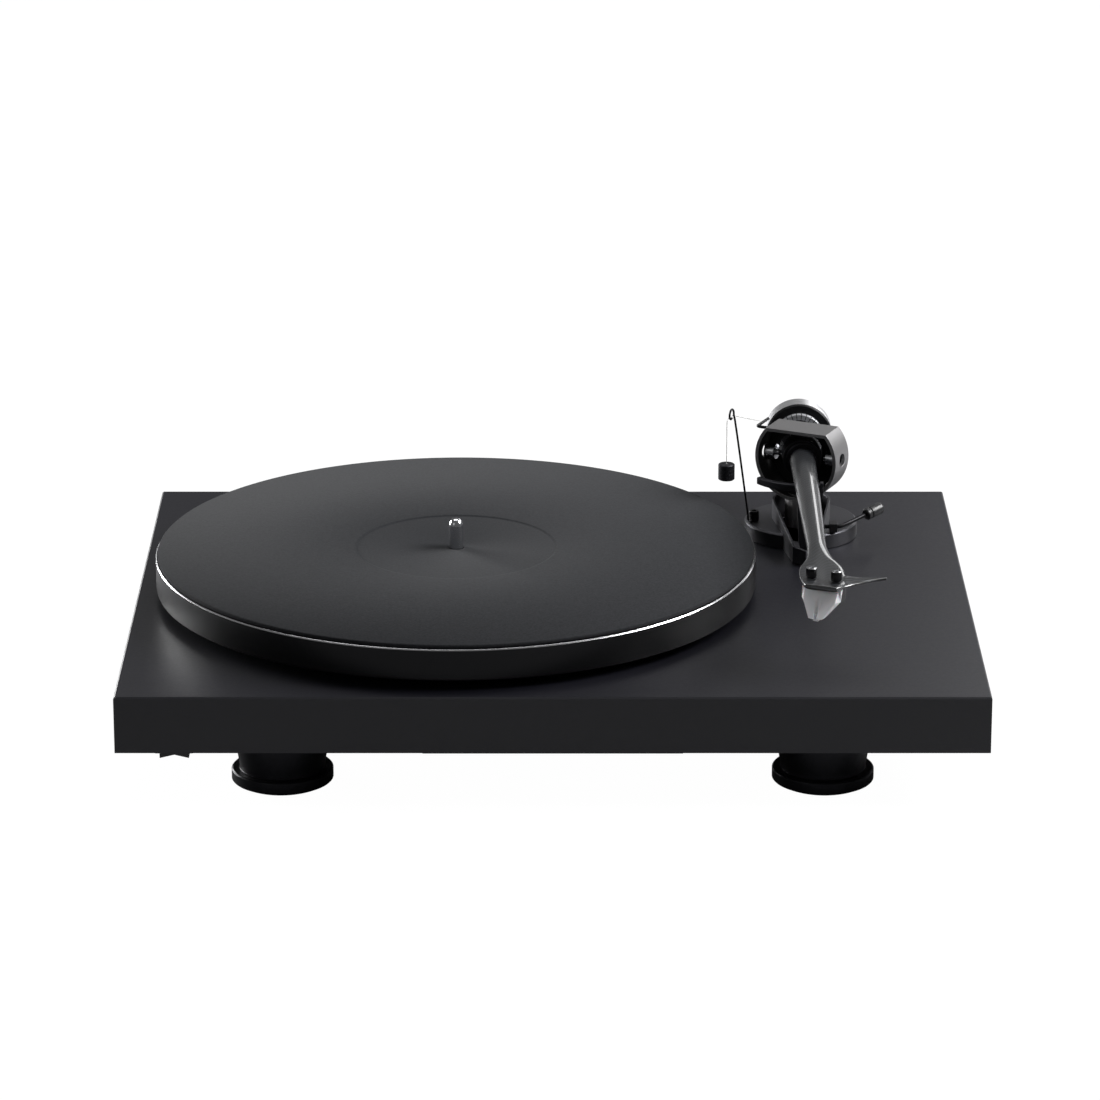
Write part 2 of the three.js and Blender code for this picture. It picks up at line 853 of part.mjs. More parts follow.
// One casting: a disc, the wedge-shaped trough that rises to the back, and the
// spigot that passes down through the plinth.
function armBaseGeometry() {
  const reach = 70;
  const slope = (troughBackHeight - noseHeight) / (troughNoseReach - 2.4);
  const rimAt = (y) => Math.min(troughBackHeight, noseHeight + slope * (y + troughNoseReach));
  const aboveRim = extrude(outline([
    [-reach, rimAt(-reach)],
    [-2.4, troughBackHeight],
    [reach, troughBackHeight],
    [reach, reach],
    [-reach, reach],
  ]), 80, -40).rotateX(Math.PI / 2).rotateZ(Math.PI / 2);
  const disk = turned([
    [0, clearance],
    [baseRadius, clearance],
    [baseRadius, baseHeight - 0.9],
    [baseRadius - 0.9, baseHeight],
    [0, baseHeight],
  ], 32);
  const body = cut(
    join(
      disk,
      extrude(troughPlan(0), troughBackHeight + 4, clearance, 12),
      disc(spigotRadius, -spigotDepth, clearance + 1, 0, 0, 20),
    ),
    aboveRim,
    extrude(troughPlan(troughWall), troughBackHeight + 8, troughFloor, 12),
  );
  return cut(
    join(body, liftGuideGeometry()),
    disc(pillarRadius + clearance, -spigotDepth - 1, troughFloor + 1, 0, 0, 20),
    disc(liftRodRadius + clearance, leverHeight, troughFloor + liftGuideHeight + 1, liftX, liftY, 16),
    crossRod(leverRadius + clearance, liftX - 4, troughBackRadius + 4, shaftY, leverHeight),
    disc(wireRadius + clearance, 3, baseHeight + 1, wireFoot[0], wireFoot[1], 12),
  );
}

function pillarGeometry() {
  const bearingSeat = pillarHeight - armBearingHeight - clearance;
  return turned([
    [axleRadius + clearance, -pillarDepth],
    [pillarRadius, -pillarDepth],
    [pillarRadius, pillarHeight],
    [armBearingRadius + clearance, pillarHeight],
    [armBearingRadius + clearance, bearingSeat],
    [axleRadius + clearance, bearingSeat],
  ], 20);
}

const baseNut = ringNut(baseNutRadius, spigotRadius + clearance, baseNutHeight)
  .translate(0, 0, -plinthTop);
armBase.add(piece('arm_base', armBaseGeometry(), blackMetal));
armBase.add(piece('arm_base_nut', baseNut, zincSteel));
armBase.add(piece('arm_pillar', pillarGeometry(), greyMetal));
armBase.add(piece(
  'arm_bearing',
  tube(
    axleRadius + clearance, armBearingRadius,
    pillarHeight - armBearingHeight, pillarHeight + 0.1, 16,
  ),
  steel,
));

// ---------------------------------------------------------------- arm bearings

// The drum's own frame: x along the tilt axis, -y out of its open front.
const pivot = new THREE.Group();
pivot.position.set(0, 0, tubeHeight);
armBase.add(pivot);
const drumFrame = new THREE.Group();
drumFrame.rotation.z = -THREE.MathUtils.degToRad(offsetAngle);
pivot.add(drumFrame);

// A round outline with a flat top.
function flatTopped(radius, flat, Kind = THREE.Shape) {
  const edge = Math.asin(flat / radius);
  const shape = new Kind();
  shape.absarc(0, 0, radius, Math.PI - edge, 2 * Math.PI + edge, false);
  shape.closePath();
  return shape;
}

const pillarGap = 0.5;
const drumBossBottom = pillarHeight + pillarGap - tubeHeight;
const drumBossTop = drumBossBottom + 3.6;

// A web closes the drum's back, with a hole that clears the arm as it tilts.
function drumGeometry() {
  const web = extrude(
    flatTopped(drumRadius - drumWall + 0.1, drumFlat - drumWall + 0.1), drumWeb, -drumWeb / 2, 16,
  ).rotateX(Math.PI / 2).translate(0, webPlace, 0);
  const section = flatTopped(drumRadius, drumFlat);
  section.holes.push(flatTopped(drumRadius - drumWall, drumFlat - drumWall, THREE.Path));
  const shell = extrude(section, drumLength, -drumLength / 2, 16).rotateX(Math.PI / 2);
  return cut(
    join(shell, web, disc(drumBossRadius, drumBossBottom, drumBossTop)),
    rearRod(webHoleRadius, 0, drumLength, 32).rotateZ(THREE.MathUtils.degToRad(offsetAngle)),
    disc(axleRadius + clearance, drumBossBottom - 1, drumBossTop - 1, 0, 0, 24),
    crossRod(accessRadius, -drumRadius - 2, drumRadius + 2, 0, 0, 24),
  );
}

// Pivot holders seat inside the drum's wall; each carries a pin whose point
// meets the gimbal ring.
const holderEnd = drumRadius - drumWall - 0.8;
const holderStart = 14;
const pinEnd = gimbalRadius / Math.cos(THREE.MathUtils.degToRad(offsetAngle)) + clearance + 0.7;

drumFrame.add(piece('arm_drum', drumGeometry(), greyMetal));
drumFrame.add(piece(
  'arm_axle', disc(axleRadius, -tubeHeight - axleDepth, drumBossTop - 1 - clearance, 0, 0, 24), steel,
));
for (const [side, sign] of [['left', -1], ['right', 1]]) {
  const shape = join(
    crossRod(pivotHolderRadius, holderStart, holderEnd, 0, 0, 24),
    crossRod(pivotPinRadius, pinEnd, holderStart + 1, 0, 0, 12),
  );
  if (sign < 0) shape.rotateZ(Math.PI);
  drumFrame.add(piece(`pivot_screw_${side}`, shape, steel));
}

// A bent, grooved rod on the drum's side that the anti-skate thread loops on.
const skateStubRadius = 0.8;
const skateStubHeight = 13.6;     // above the tilt axis
const stubRootX = -Math.sqrt(drumRadius ** 2 - (skateStubHeight - skateStubRadius) ** 2) - clearance;
const stubCurve = curveThrough([
  [stubRootX, -4, skateStubHeight],
  [-drumRadius + 0.8, -4, skateStubHeight],
  [-drumRadius - 0.8, -3.4, skateStubHeight],
  [-drumRadius - 1.2, -1.6, skateStubHeight],
  [-drumRadius - 1.2, 11, skateStubHeight],
], 0.3);
drumFrame.add(piece('antiskate_stub', rod(stubCurve, skateStubRadius, 10, 8), blackMetal));

// ------------------------------------------------------------------- arm tube

const arm = new THREE.Group();
pivot.add(arm);

function ellipseRing(halfWidth, halfHeight, y, z = 0, x = 0, sides = 18) {
  return Array.from({ length: sides }, (_, side) => {
    const angle = (side / sides) * 2 * Math.PI;
    return new THREE.Vector3(x + halfWidth * Math.cos(angle), y, z + halfHeight * Math.sin(angle));
  });
}

// The round tube tapers from the pivot to its neck, then flattens into the
// headshell plate, all one moulding with the finger lift.
const tubeRadiusAt = (reach) => THREE.MathUtils.lerp(tubeRearRadius, tubeNeckRadius, reach / neckReach);

function armTubeGeometry() {
  const shellMiddle = shellTop - shellThickness / 2;
  const neck = loft([
    ellipseRing(tubeRearRadius, tubeRearRadius, tubeTail),
    ellipseRing(tubeRearRadius, tubeRearRadius, 0),
    ellipseRing(tubeRadiusAt(80), tubeRadiusAt(80), -80),
    ellipseRing(tubeNeckRadius, tubeNeckRadius, -neckReach),
    ellipseRing(5, 4.5, -neckReach - 7, 0.05),
    ellipseRing(5.8, 3.7, -neckReach - 15, shellMiddle, 0.4),
    ellipseRing(7.2, 2.9, -neckReach - 24, shellMiddle, 0.6),
    ellipseRing(8.4, 2, -neckReach - 32, shellMiddle, 0.8),
    ellipseRing(8.4, 1.3, -neckReach - 38, shellMiddle, 0.8),
  ]);
  const plan = new THREE.Shape();
  plan.moveTo(-4.6, -neckReach - 13);
  plan.bezierCurveTo(-5.4, -176, -10.4, -180, -10.4, -191);
  plan.bezierCurveTo(-10.4, -200, -9.8, -208, -8.4, -210);
  plan.lineTo(6.2, -216.4);
  plan.bezierCurveTo(10, -212, 17, -205, 31, -202.2);
  plan.lineTo(31, -200.6);
  plan.bezierCurveTo(20, -199.4, 14, -197.6, 11.4, -195.6);
  plan.bezierCurveTo(12, -180, 6.4, -176, 5.4, -neckReach - 11);
  plan.closePath();
  const [boltX, boltY] = [boltSpacing / 2, -shellReach];
  const offset = THREE.MathUtils.degToRad(-offsetAngle);
  const holes = [-boltX, boltX].map((x) => disc(1.4, -6, 6, 0, 0, 12)
    .translate(x * Math.cos(offset) + shellX, boltY + x * Math.sin(offset), 0));
  return cut(
    join(neck, extrude(plan, shellThickness, shellTop - shellThickness, 10)),
    ...holes,
  );
}

const shellX = 0.7;
arm.add(piece('arm_tube', armTubeGeometry(), carbon));

// The collar and gimbal ring clamp the tube at its pivot.
const collarLength = 2 * collarReach;
function collarGeometry() {
  const bore = tubeRearRadius + clearance;
  return turned([
    [bore, -collarReach],
    [collarRadius, -collarReach],
    [collarRadius, -gimbalHalfLength],
    [gimbalRadius, -gimbalHalfLength],
    [gimbalRadius, gimbalHalfLength],
    [collarRadius, gimbalHalfLength],
    [collarRadius, collarLength - collarReach],
    [bore, collarLength - collarReach],
  ], 20).rotateX(Math.PI / 2);
}
arm.add(piece('arm_gimbal_collar', collarGeometry(), blackMetal));

function rearStub() {
  const start = tubeTail + clearance;
  const bore = stubRadius;
  return turned([
    [0, start],
    [tubeRearRadius, start],
    [tubeRearRadius, start + 4],
    [bore, start + 4],
    [bore, stubEnd],
    [0, stubEnd],
  ], 16).rotateX(-Math.PI / 2);
}
arm.add(piece('counterweight_stub', rearStub(), steel));

const bushOuter = dialInner - clearance;
function counterweightGeometry() {
  const bore = dialInner;
  const front = weightReach;
  return turned([
    [bore, front],
    [weightRadius - 0.6, front],
    [weightRadius, front + 0.6],
    [weightRadius, front + weightLength - 1.2],
    [weightRadius - 1.2, front + weightLength],
    [bore, front + weightLength],
  ], 28).rotateX(-Math.PI / 2);
}
arm.add(piece('counterweight', counterweightGeometry(), steel));
arm.add(piece(
  'counterweight_bush',
  tube(stubRadius + clearance, bushOuter, weightReach + 2.5, weightReach + weightLength - 0.5, 20)
    .rotateX(-Math.PI / 2),
  rubber,
));
arm.add(piece(
  'counterweight_dial',
  tube(dialInner, dialOuter, weightReach - clearance - dialHeight, weightReach - clearance, 24)
    .rotateX(-Math.PI / 2),
  greyMetal,
));

// ------------------------------------------------------------------ cartridge

// The cartridge's own frame: origin on the headshell's underside between the
// bolts, -y towards its front.
const shell = new THREE.Group();
shell.position.set(shellX, -shellReach, shellTop - shellThickness);
shell.rotation.z = -THREE.MathUtils.degToRad(offsetAngle);
arm.add(shell);

const bodyTop = -clearance;
const bodyBottom = -9.5;
const bodyBack = 10;
const bodyWidth = 15.6;
const stylusTip = -tipDrop - (shellTop - shellThickness);

function cartridgeGeometry() {
  const side = extrude(outline([
    [-2.2, bodyTop],
    [-2.2, -5.6],
    [3, bodyBottom],
    [bodyBack - 1.5, bodyBottom],
    [bodyBack, bodyBottom + 1.5],
    [bodyBack, bodyTop],
  ]), bodyWidth, -bodyWidth / 2).rotateX(Math.PI / 2).rotateZ(Math.PI / 2);
  const pins = [-4.5, -1.5, 1.5, 4.5].map((x) => (
    rearRod(0.6, bodyBack - 1, bodyBack + 4.5, 8).translate(x, 0, -4.6)
  ));
  const bolts = [-boltSpacing / 2, boltSpacing / 2].map((x) => disc(1.5, -8, 1, x, 0, 12));
  return cut(join(side, ...pins), ...bolts);
}

// The stylus assembly: a prow that widens upward and slopes forward downward.
function stylusHolderGeometry() {
  const level = (z, halfFront, halfBack, front, back, notch) => [
    [0, -front + notch], [halfFront * 0.22, -front], [halfFront, -front + 0.9],
    [halfBack, -front + 3.4], [halfBack, back], [0, back],
    [-halfBack, back], [-halfBack, -front + 3.4], [-halfFront, -front + 0.9],
    [-halfFront * 0.22, -front],
  ].map(([x, y]) => new THREE.Vector3(x, y, z));
  const prow = loft([
    level(-13.4, 3.4, 3.8, 11.4, -4.2, 1.6),
    level(-6, 8.2, 9.9, 6.4, -2.6, 0),
    level(bodyTop, 8.6, 10, 3.6, -2.5, 0),
  ]);
  return cut(
    prow,
    block(2.6, 5, 4, 0, -7.2, -14.8),
  );
}

// The cantilever slopes forward and down to the stylus tip.
const cantileverCurve = new THREE.LineCurve3(
  new THREE.Vector3(0, -5.1, -11.8),
  new THREE.Vector3(0, -tipForward, stylusTip + 0.4),
);

shell.add(piece('cartridge_body', cartridgeGeometry(), blackPlastic));
shell.add(piece('stylus_holder', stylusHolderGeometry(), silverPlastic));
shell.add(piece('cantilever', rod(cantileverCurve, 0.4, 1, 8), steel));
for (const [side, sign] of [['left', -1], ['right', 1]]) {
  const x = sign * boltSpacing / 2;
  const nutBottom = shellThickness + clearance;
  shell.add(piece(`thumb_screw_${side}`, join(
    disc(thumbNutRadius, nutBottom, nutBottom + thumbNutHeight, 0, 0, 20),
    disc(1.1, -6.5, nutBottom + 1, 0, 0, 12),
  ), steel, [x, 0, 0]));
}

// --------------------------------------------------------------- cueing lift

function liftBarGeometry() {
  const inner = liftRadius - liftBarWidth / 2;
  const outer = liftRadius + liftBarWidth / 2;
  const start = THREE.MathUtils.degToRad(liftStart);
  const end = THREE.MathUtils.degToRad(liftEnd);
  const shape = new THREE.Shape();
  shape.absarc(0, 0, outer, start, end, false);
  shape.absarc(0, 0, inner, end, start, true);
  shape.closePath();
  return join(
    extrude(shape, liftBarHeight, liftBarTop - liftBarHeight, 12),
    disc(liftRodRadius, liftRodBottom, liftBarTop - 1, liftX, liftY, 12),
  );
}

armBase.add(piece('lift_bar', liftBarGeometry(), blackMetal));

// The lever: an axle through the trough's wall, bent back out to its grip.
const gripDirection = new THREE.Vector3(20.8, 15.4, 5).normalize();
const bend = new THREE.Vector3(20, shaftY + 0.4, leverHeight + 0.1);
const gripStart = bend.clone().addScaledVector(gripDirection, 16);

function leverGeometry() {
  const path = curveThrough([
    [liftX - 3, shaftY, leverHeight],
    [12, shaftY, leverHeight],
    [17.5, shaftY, leverHeight],
    [20.2, shaftY + 0.7, leverHeight + 0.2],
    bend.clone().addScaledVector(gripDirection, 4).toArray(),
    gripStart.clone().addScaledVector(gripDirection, 3).toArray(),
  ], 0.3);
  return rod(path, leverRadius, 10, 8);
}

function gripGeometry() {
  const along = new THREE.Quaternion()
    .setFromUnitVectors(new THREE.Vector3(0, 0, 1), gripDirection);
  return turned([
    [leverRadius + clearance, 0],
    [gripRadius - 0.5, 0],
    [gripRadius, 0.6],
    [gripRadius, gripLength - 0.6],
    [gripRadius - 0.5, gripLength],
    [0, gripLength],
    [0, 3.6],
    [leverRadius + clearance, 3.6],
  ], 16).applyQuaternion(along).translate(...gripStart.toArray());
}

armBase.add(piece('cue_lever', leverGeometry(), blackSteel));
armBase.add(piece('cue_lever_grip', gripGeometry(), blackSteel));
armBase.add(piece(
  'cue_lever_block',
  cut(
    block(4, 6, leverHeight + 2.2 - baseHeight - clearance, 15.6, shaftY, baseHeight + clearance),
    crossRod(leverRadius + clearance, 10, 25, shaftY, leverHeight, 16),
  ),
  blackPlastic,
));

// ------------------------------------------------------------------- arm rest

// A flat bracket in the trough's nose: a low seat under the tube with a horn
// on its outer side only, so the arm lifts off towards the platter.
function armRestGeometry() {
  const tubeRadius = tubeRadiusAt(restReach);
  const seatRadius = tubeRadius + restGap;
  const seat = tubeHeight - seatRadius;
  const shape = new THREE.Shape();
  shape.moveTo(-2, troughFloor + clearance);
  shape.lineTo(2, troughFloor + clearance);
  shape.lineTo(3.4, noseHeight + 2);
  shape.lineTo(seatRadius + 1.6, tubeHeight - 4);
  shape.lineTo(seatRadius + 1.6, tubeHeight + 0.4);
  shape.lineTo(seatRadius, tubeHeight + 0.4);
  shape.absarc(0, tubeHeight, seatRadius, 0, -Math.PI / 2, true);
  shape.lineTo(-4.6, seat);
  shape.lineTo(-4.6, seat - 2.4);
  shape.lineTo(-3.4, noseHeight + 2);
  shape.closePath();
  return extrude(shape, restThickness, -restThickness / 2, 10)
    .rotateX(Math.PI / 2)
    .translate(0, -restReach + 2.4, 0);
}
armBase.add(piece('arm_rest', armRestGeometry(), blackMetal));

// ----------------------------------------------------------------- anti-skate

const loopMiddle = [-37, -2.6, 65.6];
const loopRadius = 2.4;
function antiskateWire() {
  const points = [
    [wireFoot[0], wireFoot[1], 4.2],
    [wireFoot[0], wireFoot[1], baseHeight + 2],
    [-30.4, -2.6, 28],
    [-33.4, -2.6, 50],
    [-34.3, -2.6, 60],
  ];
  for (let turn = 0; turn <= 6; turn += 1) {
    const angle = -0.25 + (turn / 6) * 1.75 * Math.PI;
    points.push([
      loopMiddle[0] + loopRadius * Math.cos(angle),
      loopMiddle[1] - turn * 0.4,
      loopMiddle[2] + loopRadius * Math.sin(angle),
    ]);
  }
  return rod(curveThrough(points), wireRadius, 20, 6);
}

const hangX = -39;
const hangY = -6;
const weightTop = 39.6;

function antiskateWeightGeometry() {
  const bottom = weightTop - antiskateWeightHeight;
  return cut(turned([
    [0, bottom],
    [antiskateWeightRadius - 0.4, bottom],
    [antiskateWeightRadius, bottom + 0.4],
    [antiskateWeightRadius, weightTop - 0.4],
    [antiskateWeightRadius - 0.4, weightTop],
    [0, weightTop],
  ], 20), disc(0.8, weightTop - 2, weightTop + 1, 0, 0, 10));
}

// The thread hangs from the loop to the weight and runs back to the stub.
const threadCurve = curveThrough([
  [hangX, hangY, weightTop - 1.2],
  [hangX, hangY, weightTop + 12],
  [hangX, hangY, 60.5],
  [-38.2, -6.1, 64],
  [-37.1, -4.6, 65],
  [-36, -1.6, 64.3],
  [-29, 6.2, 60.2],
  [-21, 14.1, 56.2],
], 0.5);
armBase.add(piece('antiskate_thread', rod(threadCurve, threadRadius, 14, 5), nylon));
armBase.add(piece('antiskate_wire', antiskateWire(), blackMetal));
armBase.add(piece('antiskate_clamp_knob', cut(
  disc(2.5, baseHeight + clearance, baseHeight + 6, knobFoot[0], knobFoot[1], 20),
  disc(1, baseHeight + 4.6, baseHeight + 7, knobFoot[0], knobFoot[1], 6),
), blackMetal));
armBase.add(piece(
  'antiskate_weight', antiskateWeightGeometry(), blackMetal, [hangX, hangY, 0],
));

export default turntable;
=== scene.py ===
# A belt-drive record player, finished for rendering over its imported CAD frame.

import math

import bmesh
import bpy
from mathutils import Matrix, Vector


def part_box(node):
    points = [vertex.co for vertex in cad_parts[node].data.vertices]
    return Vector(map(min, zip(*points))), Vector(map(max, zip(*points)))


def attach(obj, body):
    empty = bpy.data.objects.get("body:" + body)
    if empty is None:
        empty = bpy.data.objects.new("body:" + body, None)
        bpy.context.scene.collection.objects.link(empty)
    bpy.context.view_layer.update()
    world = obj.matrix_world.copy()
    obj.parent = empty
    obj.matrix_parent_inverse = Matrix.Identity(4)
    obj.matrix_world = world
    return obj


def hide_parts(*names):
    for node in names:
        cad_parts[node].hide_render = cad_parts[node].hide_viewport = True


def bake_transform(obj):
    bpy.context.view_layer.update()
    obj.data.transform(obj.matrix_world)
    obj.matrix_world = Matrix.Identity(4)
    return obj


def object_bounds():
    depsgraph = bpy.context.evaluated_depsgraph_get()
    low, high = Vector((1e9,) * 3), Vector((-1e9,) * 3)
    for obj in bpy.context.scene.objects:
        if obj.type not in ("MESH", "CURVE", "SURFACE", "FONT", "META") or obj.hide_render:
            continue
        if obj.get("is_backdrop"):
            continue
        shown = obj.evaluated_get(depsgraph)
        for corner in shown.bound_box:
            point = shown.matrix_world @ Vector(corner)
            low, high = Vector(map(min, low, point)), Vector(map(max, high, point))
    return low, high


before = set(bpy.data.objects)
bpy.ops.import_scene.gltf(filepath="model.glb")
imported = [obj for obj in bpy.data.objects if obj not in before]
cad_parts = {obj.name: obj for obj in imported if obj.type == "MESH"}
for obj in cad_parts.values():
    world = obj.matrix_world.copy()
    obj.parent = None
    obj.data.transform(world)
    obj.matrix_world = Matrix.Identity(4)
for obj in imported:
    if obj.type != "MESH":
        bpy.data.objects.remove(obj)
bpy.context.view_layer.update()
mm = 0.001

# ---------------------------------------------------------------------- camera
# A long lens, a little to the left of the middle, looking down at 18.4 degrees.
camera_data = bpy.data.cameras.new("camera")
camera_data.lens = 164.86
camera_data.sensor_width = 36
camera_data.clip_end = 20
camera = bpy.data.objects.new("camera", camera_data)
camera_tilt = math.radians(18.3925)
camera_distance = 2.5858
camera_aim = Vector((-0.0013, 0.0607, 0.055))
camera.location = camera_aim + camera_distance * Vector((0, -math.cos(camera_tilt), math.sin(camera_tilt)))
camera.rotation_euler = (math.pi / 2 - camera_tilt, 0, 0)
bpy.context.collection.objects.link(camera)
bpy.context.scene.camera = camera
bpy.context.scene.view_settings.view_transform = "Standard"


# --------------------------------------------------------- floor and the light
# A seamless white studio: a wide pale floor that keeps the contact shadow, one
# large soft lamp overhead and behind, and a fill from the front left.
def linear(hex_color):
    """An sRGB hex colour as the linear colour that a shader takes."""
    channels = [int(hex_color[i:i + 2], 16) / 255 for i in (1, 3, 5)]
    return [c / 12.92 if c <= 0.04045 else ((c + 0.055) / 1.055) ** 2.4 for c in channels] + [1.0]


def add_node(tree, kind, values=None, links=None, **settings):
    """Adds a node, sets its settings and socket values, and links outputs into it."""
    node = tree.nodes.new(kind)
    for name, value in settings.items():
        setattr(node, name, value)
    for name, value in (values or {}).items():
        node.inputs[name].default_value = value
    for name, output in (links or {}).items():
        tree.links.new(output, node.inputs[name])
    return node


def surface(name, color, roughness, metallic=0.0, **values):
    """A named material with its shader set; returns it, its node tree and the shader."""
    material = bpy.data.materials.new(name)
    material.use_nodes = True
    tree = material.node_tree
    shader = tree.nodes["Principled BSDF"]
    shader.inputs["Base Color"].default_value = linear(color)
    shader.inputs["Roughness"].default_value = roughness
    shader.inputs["Metallic"].default_value = metallic
    for socket, value in values.items():
        shader.inputs[socket.replace("_", " ")].default_value = value
    return material, tree, shader


floor_material, tree, shader = surface("white paper sweep", "#8C8C8E", 0.9)
path = add_node(tree, "ShaderNodeLightPath")
glow = add_node(tree, "ShaderNodeEmission", {"Color": (1, 1, 1, 1), "Strength": 1.1})
shadowless = add_node(
    tree, "ShaderNodeMixShader", {0: 0.9}, {1: shader.outputs[0], 2: glow.outputs[0]},
)
seen = add_node(
    tree, "ShaderNodeMixShader", links={
        0: path.outputs["Is Camera Ray"], 1: shader.outputs[0], 2: shadowless.outputs[0],
    },
)
tree.links.new(seen.outputs[0], tree.nodes["Material Output"].inputs["Surface"])
floor_mesh = bmesh.new()
bmesh.ops.create_grid(floor_mesh, x_segments=1, y_segments=1, size=30)
floor_data = bpy.data.meshes.new("studio_floor")
floor_mesh.to_mesh(floor_data)
floor_data.materials.append(floor_material)
floor = bpy.data.objects.new("studio_floor", floor_data)
bpy.context.collection.objects.link(floor)
floor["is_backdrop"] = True

world = bpy.data.worlds.new("white studio")
world.use_nodes = True
bpy.context.scene.world = world
sky = world.node_tree
backdrop = add_node(sky, "ShaderNodeBackground", {"Color": (1, 1, 1, 1), "Strength": 1.1})
studio = sky.nodes["Background"]
studio.inputs["Color"].default_value = (1, 1, 1, 1)
studio.inputs["Strength"].default_value = 0.13
ray = add_node(sky, "ShaderNodeLightPath")
choice = add_node(
    sky, "ShaderNodeMixShader", links={
        0: ray.outputs["Is Camera Ray"], 1: studio.outputs[0], 2: backdrop.outputs[0],
    },
)
sky.links.new(choice.outputs[0], sky.nodes["World Output"].inputs["Surface"])


def soft_lamp(name, place, aim, width, height, power):
    """A rectangular soft box, turned to face its aim."""
    data = bpy.data.lights.new(name, "AREA")
    data.shape = "RECTANGLE"
    data.size = width
    data.size_y = height
    data.energy = power
    lamp = bpy.data.objects.new(name, data)
    lamp.location = place
    lamp.rotation_euler = (Vector(aim) - Vector(place)).to_track_quat("-Z", "Y").to_euler()
    bpy.context.collection.objects.link(lamp)


soft_lamp("key above right", (1.2, 0.1, 1.0), (0.05, 0, 0.05), 0.9, 0.7, 42)
soft_lamp("low panel behind left", (-1.3, 0.9, 0.3), (-0.15, 0, 0.06), 0.9, 0.5, 30)
soft_lamp("panel behind right", (0.9, 1.6, 0.7), (0.1, 0, 0.05), 0.9, 0.6, 4)
soft_lamp("overhead", (-0.1, 0.5, 1.7), (0, 0, 0.05), 1.4, 0.8, 12)
soft_lamp("fill front left", (-1.2, -1.4, 1.0), (-0.05, 0, 0.05), 0.8, 0.8, 1.2)

# ---------------------------------------------------------------------- plinth
# One slab of fibreboard in satin black lacquer: sprayed and rubbed down, so it
# is smooth with the faintest orange peel, and its edges are barely broken.
plinth_low, plinth_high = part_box("plinth")
plinth_top = plinth_high.z


def grain(tree, shader, spacing, height, detail=3.0, stretch=(1, 1, 1)):
    """A bump of that spacing and height, in millimetres, read in the object's own frame."""
    place = add_node(tree, "ShaderNodeTexCoord")
    scaled = add_node(tree, "ShaderNodeMapping", {"Scale": stretch}, {"Vector": place.outputs["Object"]})
    noise = add_node(
        tree, "ShaderNodeTexNoise", {"Scale": 1 / (spacing * mm), "Detail": detail},
        {"Vector": scaled.outputs[0]},
    )
    bump = add_node(
        tree, "ShaderNodeBump", {"Strength": 1.0, "Distance": height * mm}, {"Height": noise.outputs["Fac"]},
    )
    tree.links.new(bump.outputs[0], shader.inputs["Normal"])
    return noise


def varied(tree, shader, noise, low, high):
    """Lets a pattern vary the roughness between two values."""
    spread = add_node(
        tree, "ShaderNodeMapRange", {"To Min": low, "To Max": high}, {"Value": noise.outputs["Fac"]},
    )
    tree.links.new(spread.outputs[0], shader.inputs["Roughness"])


lacquer, tree, shader = surface("satin black lacquer", "#0A0A12", 0.4, Coat_Weight=0.15, Coat_Roughness=0.25)
varied(tree, shader, grain(tree, shader, 1.6, 0.012), 0.36, 0.46)


def recoat(material, *nodes):
    """Gives CAD nodes, kept in their own shape, their finish."""
    for name in nodes:
        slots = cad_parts[name].data.materials
        for index in range(len(slots)):
            slots[index] = material


recoat(lacquer, "plinth")


# ------------------------------------------------------------------------ feet
# Turned aluminium cones with a wider ring, black anodised over a fine turned
# finish, each standing on a moulded rubber pad and screwed up into the board.
def add_piece(name, bm, material, body, nodes=(), bevel=0.0, keep_sharp=35):
    """Makes a mesh object of a bmesh, finishes its edges and joins it to its CAD body."""
    data = bpy.data.meshes.new(name)
    bm.to_mesh(data)
    bm.free()
    for polygon in data.polygons:
        polygon.use_smooth = True
    data.set_sharp_from_angle(angle=math.radians(keep_sharp))
    for finish in material if isinstance(material, (list, tuple)) else [material]:
        data.materials.append(finish)
    piece = bpy.data.objects.new(name, data)
    bpy.context.collection.objects.link(piece)
    if bevel:
        rounding = piece.modifiers.new("broken edges", "BEVEL")
        rounding.width = bevel * mm
        rounding.segments = 2
        rounding.limit_method = "ANGLE"
        rounding.angle_limit = math.radians(keep_sharp)
        rounding.harden_normals = False
    if body:
        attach(piece, body)
    if nodes:
        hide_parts(*([nodes] if isinstance(nodes, str) else nodes))
    return piece


def at(x, y, z=0.0):
    """The place of a piece's own frame, in metres."""
    return Matrix.Translation((x, y, z))


def turned(profile, place, steps=96, closed=False):
    """A bmesh turned about its place's Z from (radius, height) pairs in millimetres."""
    bm = bmesh.new()
    ring = [bm.verts.new((radius * mm, 0, height * mm)) for radius, height in profile]
    edges = [bm.edges.new(pair) for pair in zip(ring, ring[1:])]
    if closed:
        edges.append(bm.edges.new((ring[-1], ring[0])))
    bmesh.ops.spin(
        bm, geom=ring + edges, cent=(0, 0, 0), axis=(0, 0, 1), angle=2 * math.pi, steps=steps,
        use_merge=True,
    )
    bmesh.ops.remove_doubles(bm, verts=bm.verts, dist=1e-6)
    bmesh.ops.recalc_face_normals(bm, faces=bm.faces)
    bmesh.ops.transform(bm, matrix=place, verts=bm.verts)
    return bm


anodised, tree, shader = surface("black anodised aluminium", "#232326", 0.38, 0.85)
varied(tree, shader, grain(tree, shader, 0.35, 0.006), 0.32, 0.44)
pad_rubber, tree, shader = surface("moulded foot rubber", "#161617", 0.75)
grain(tree, shader, 0.5, 0.03)

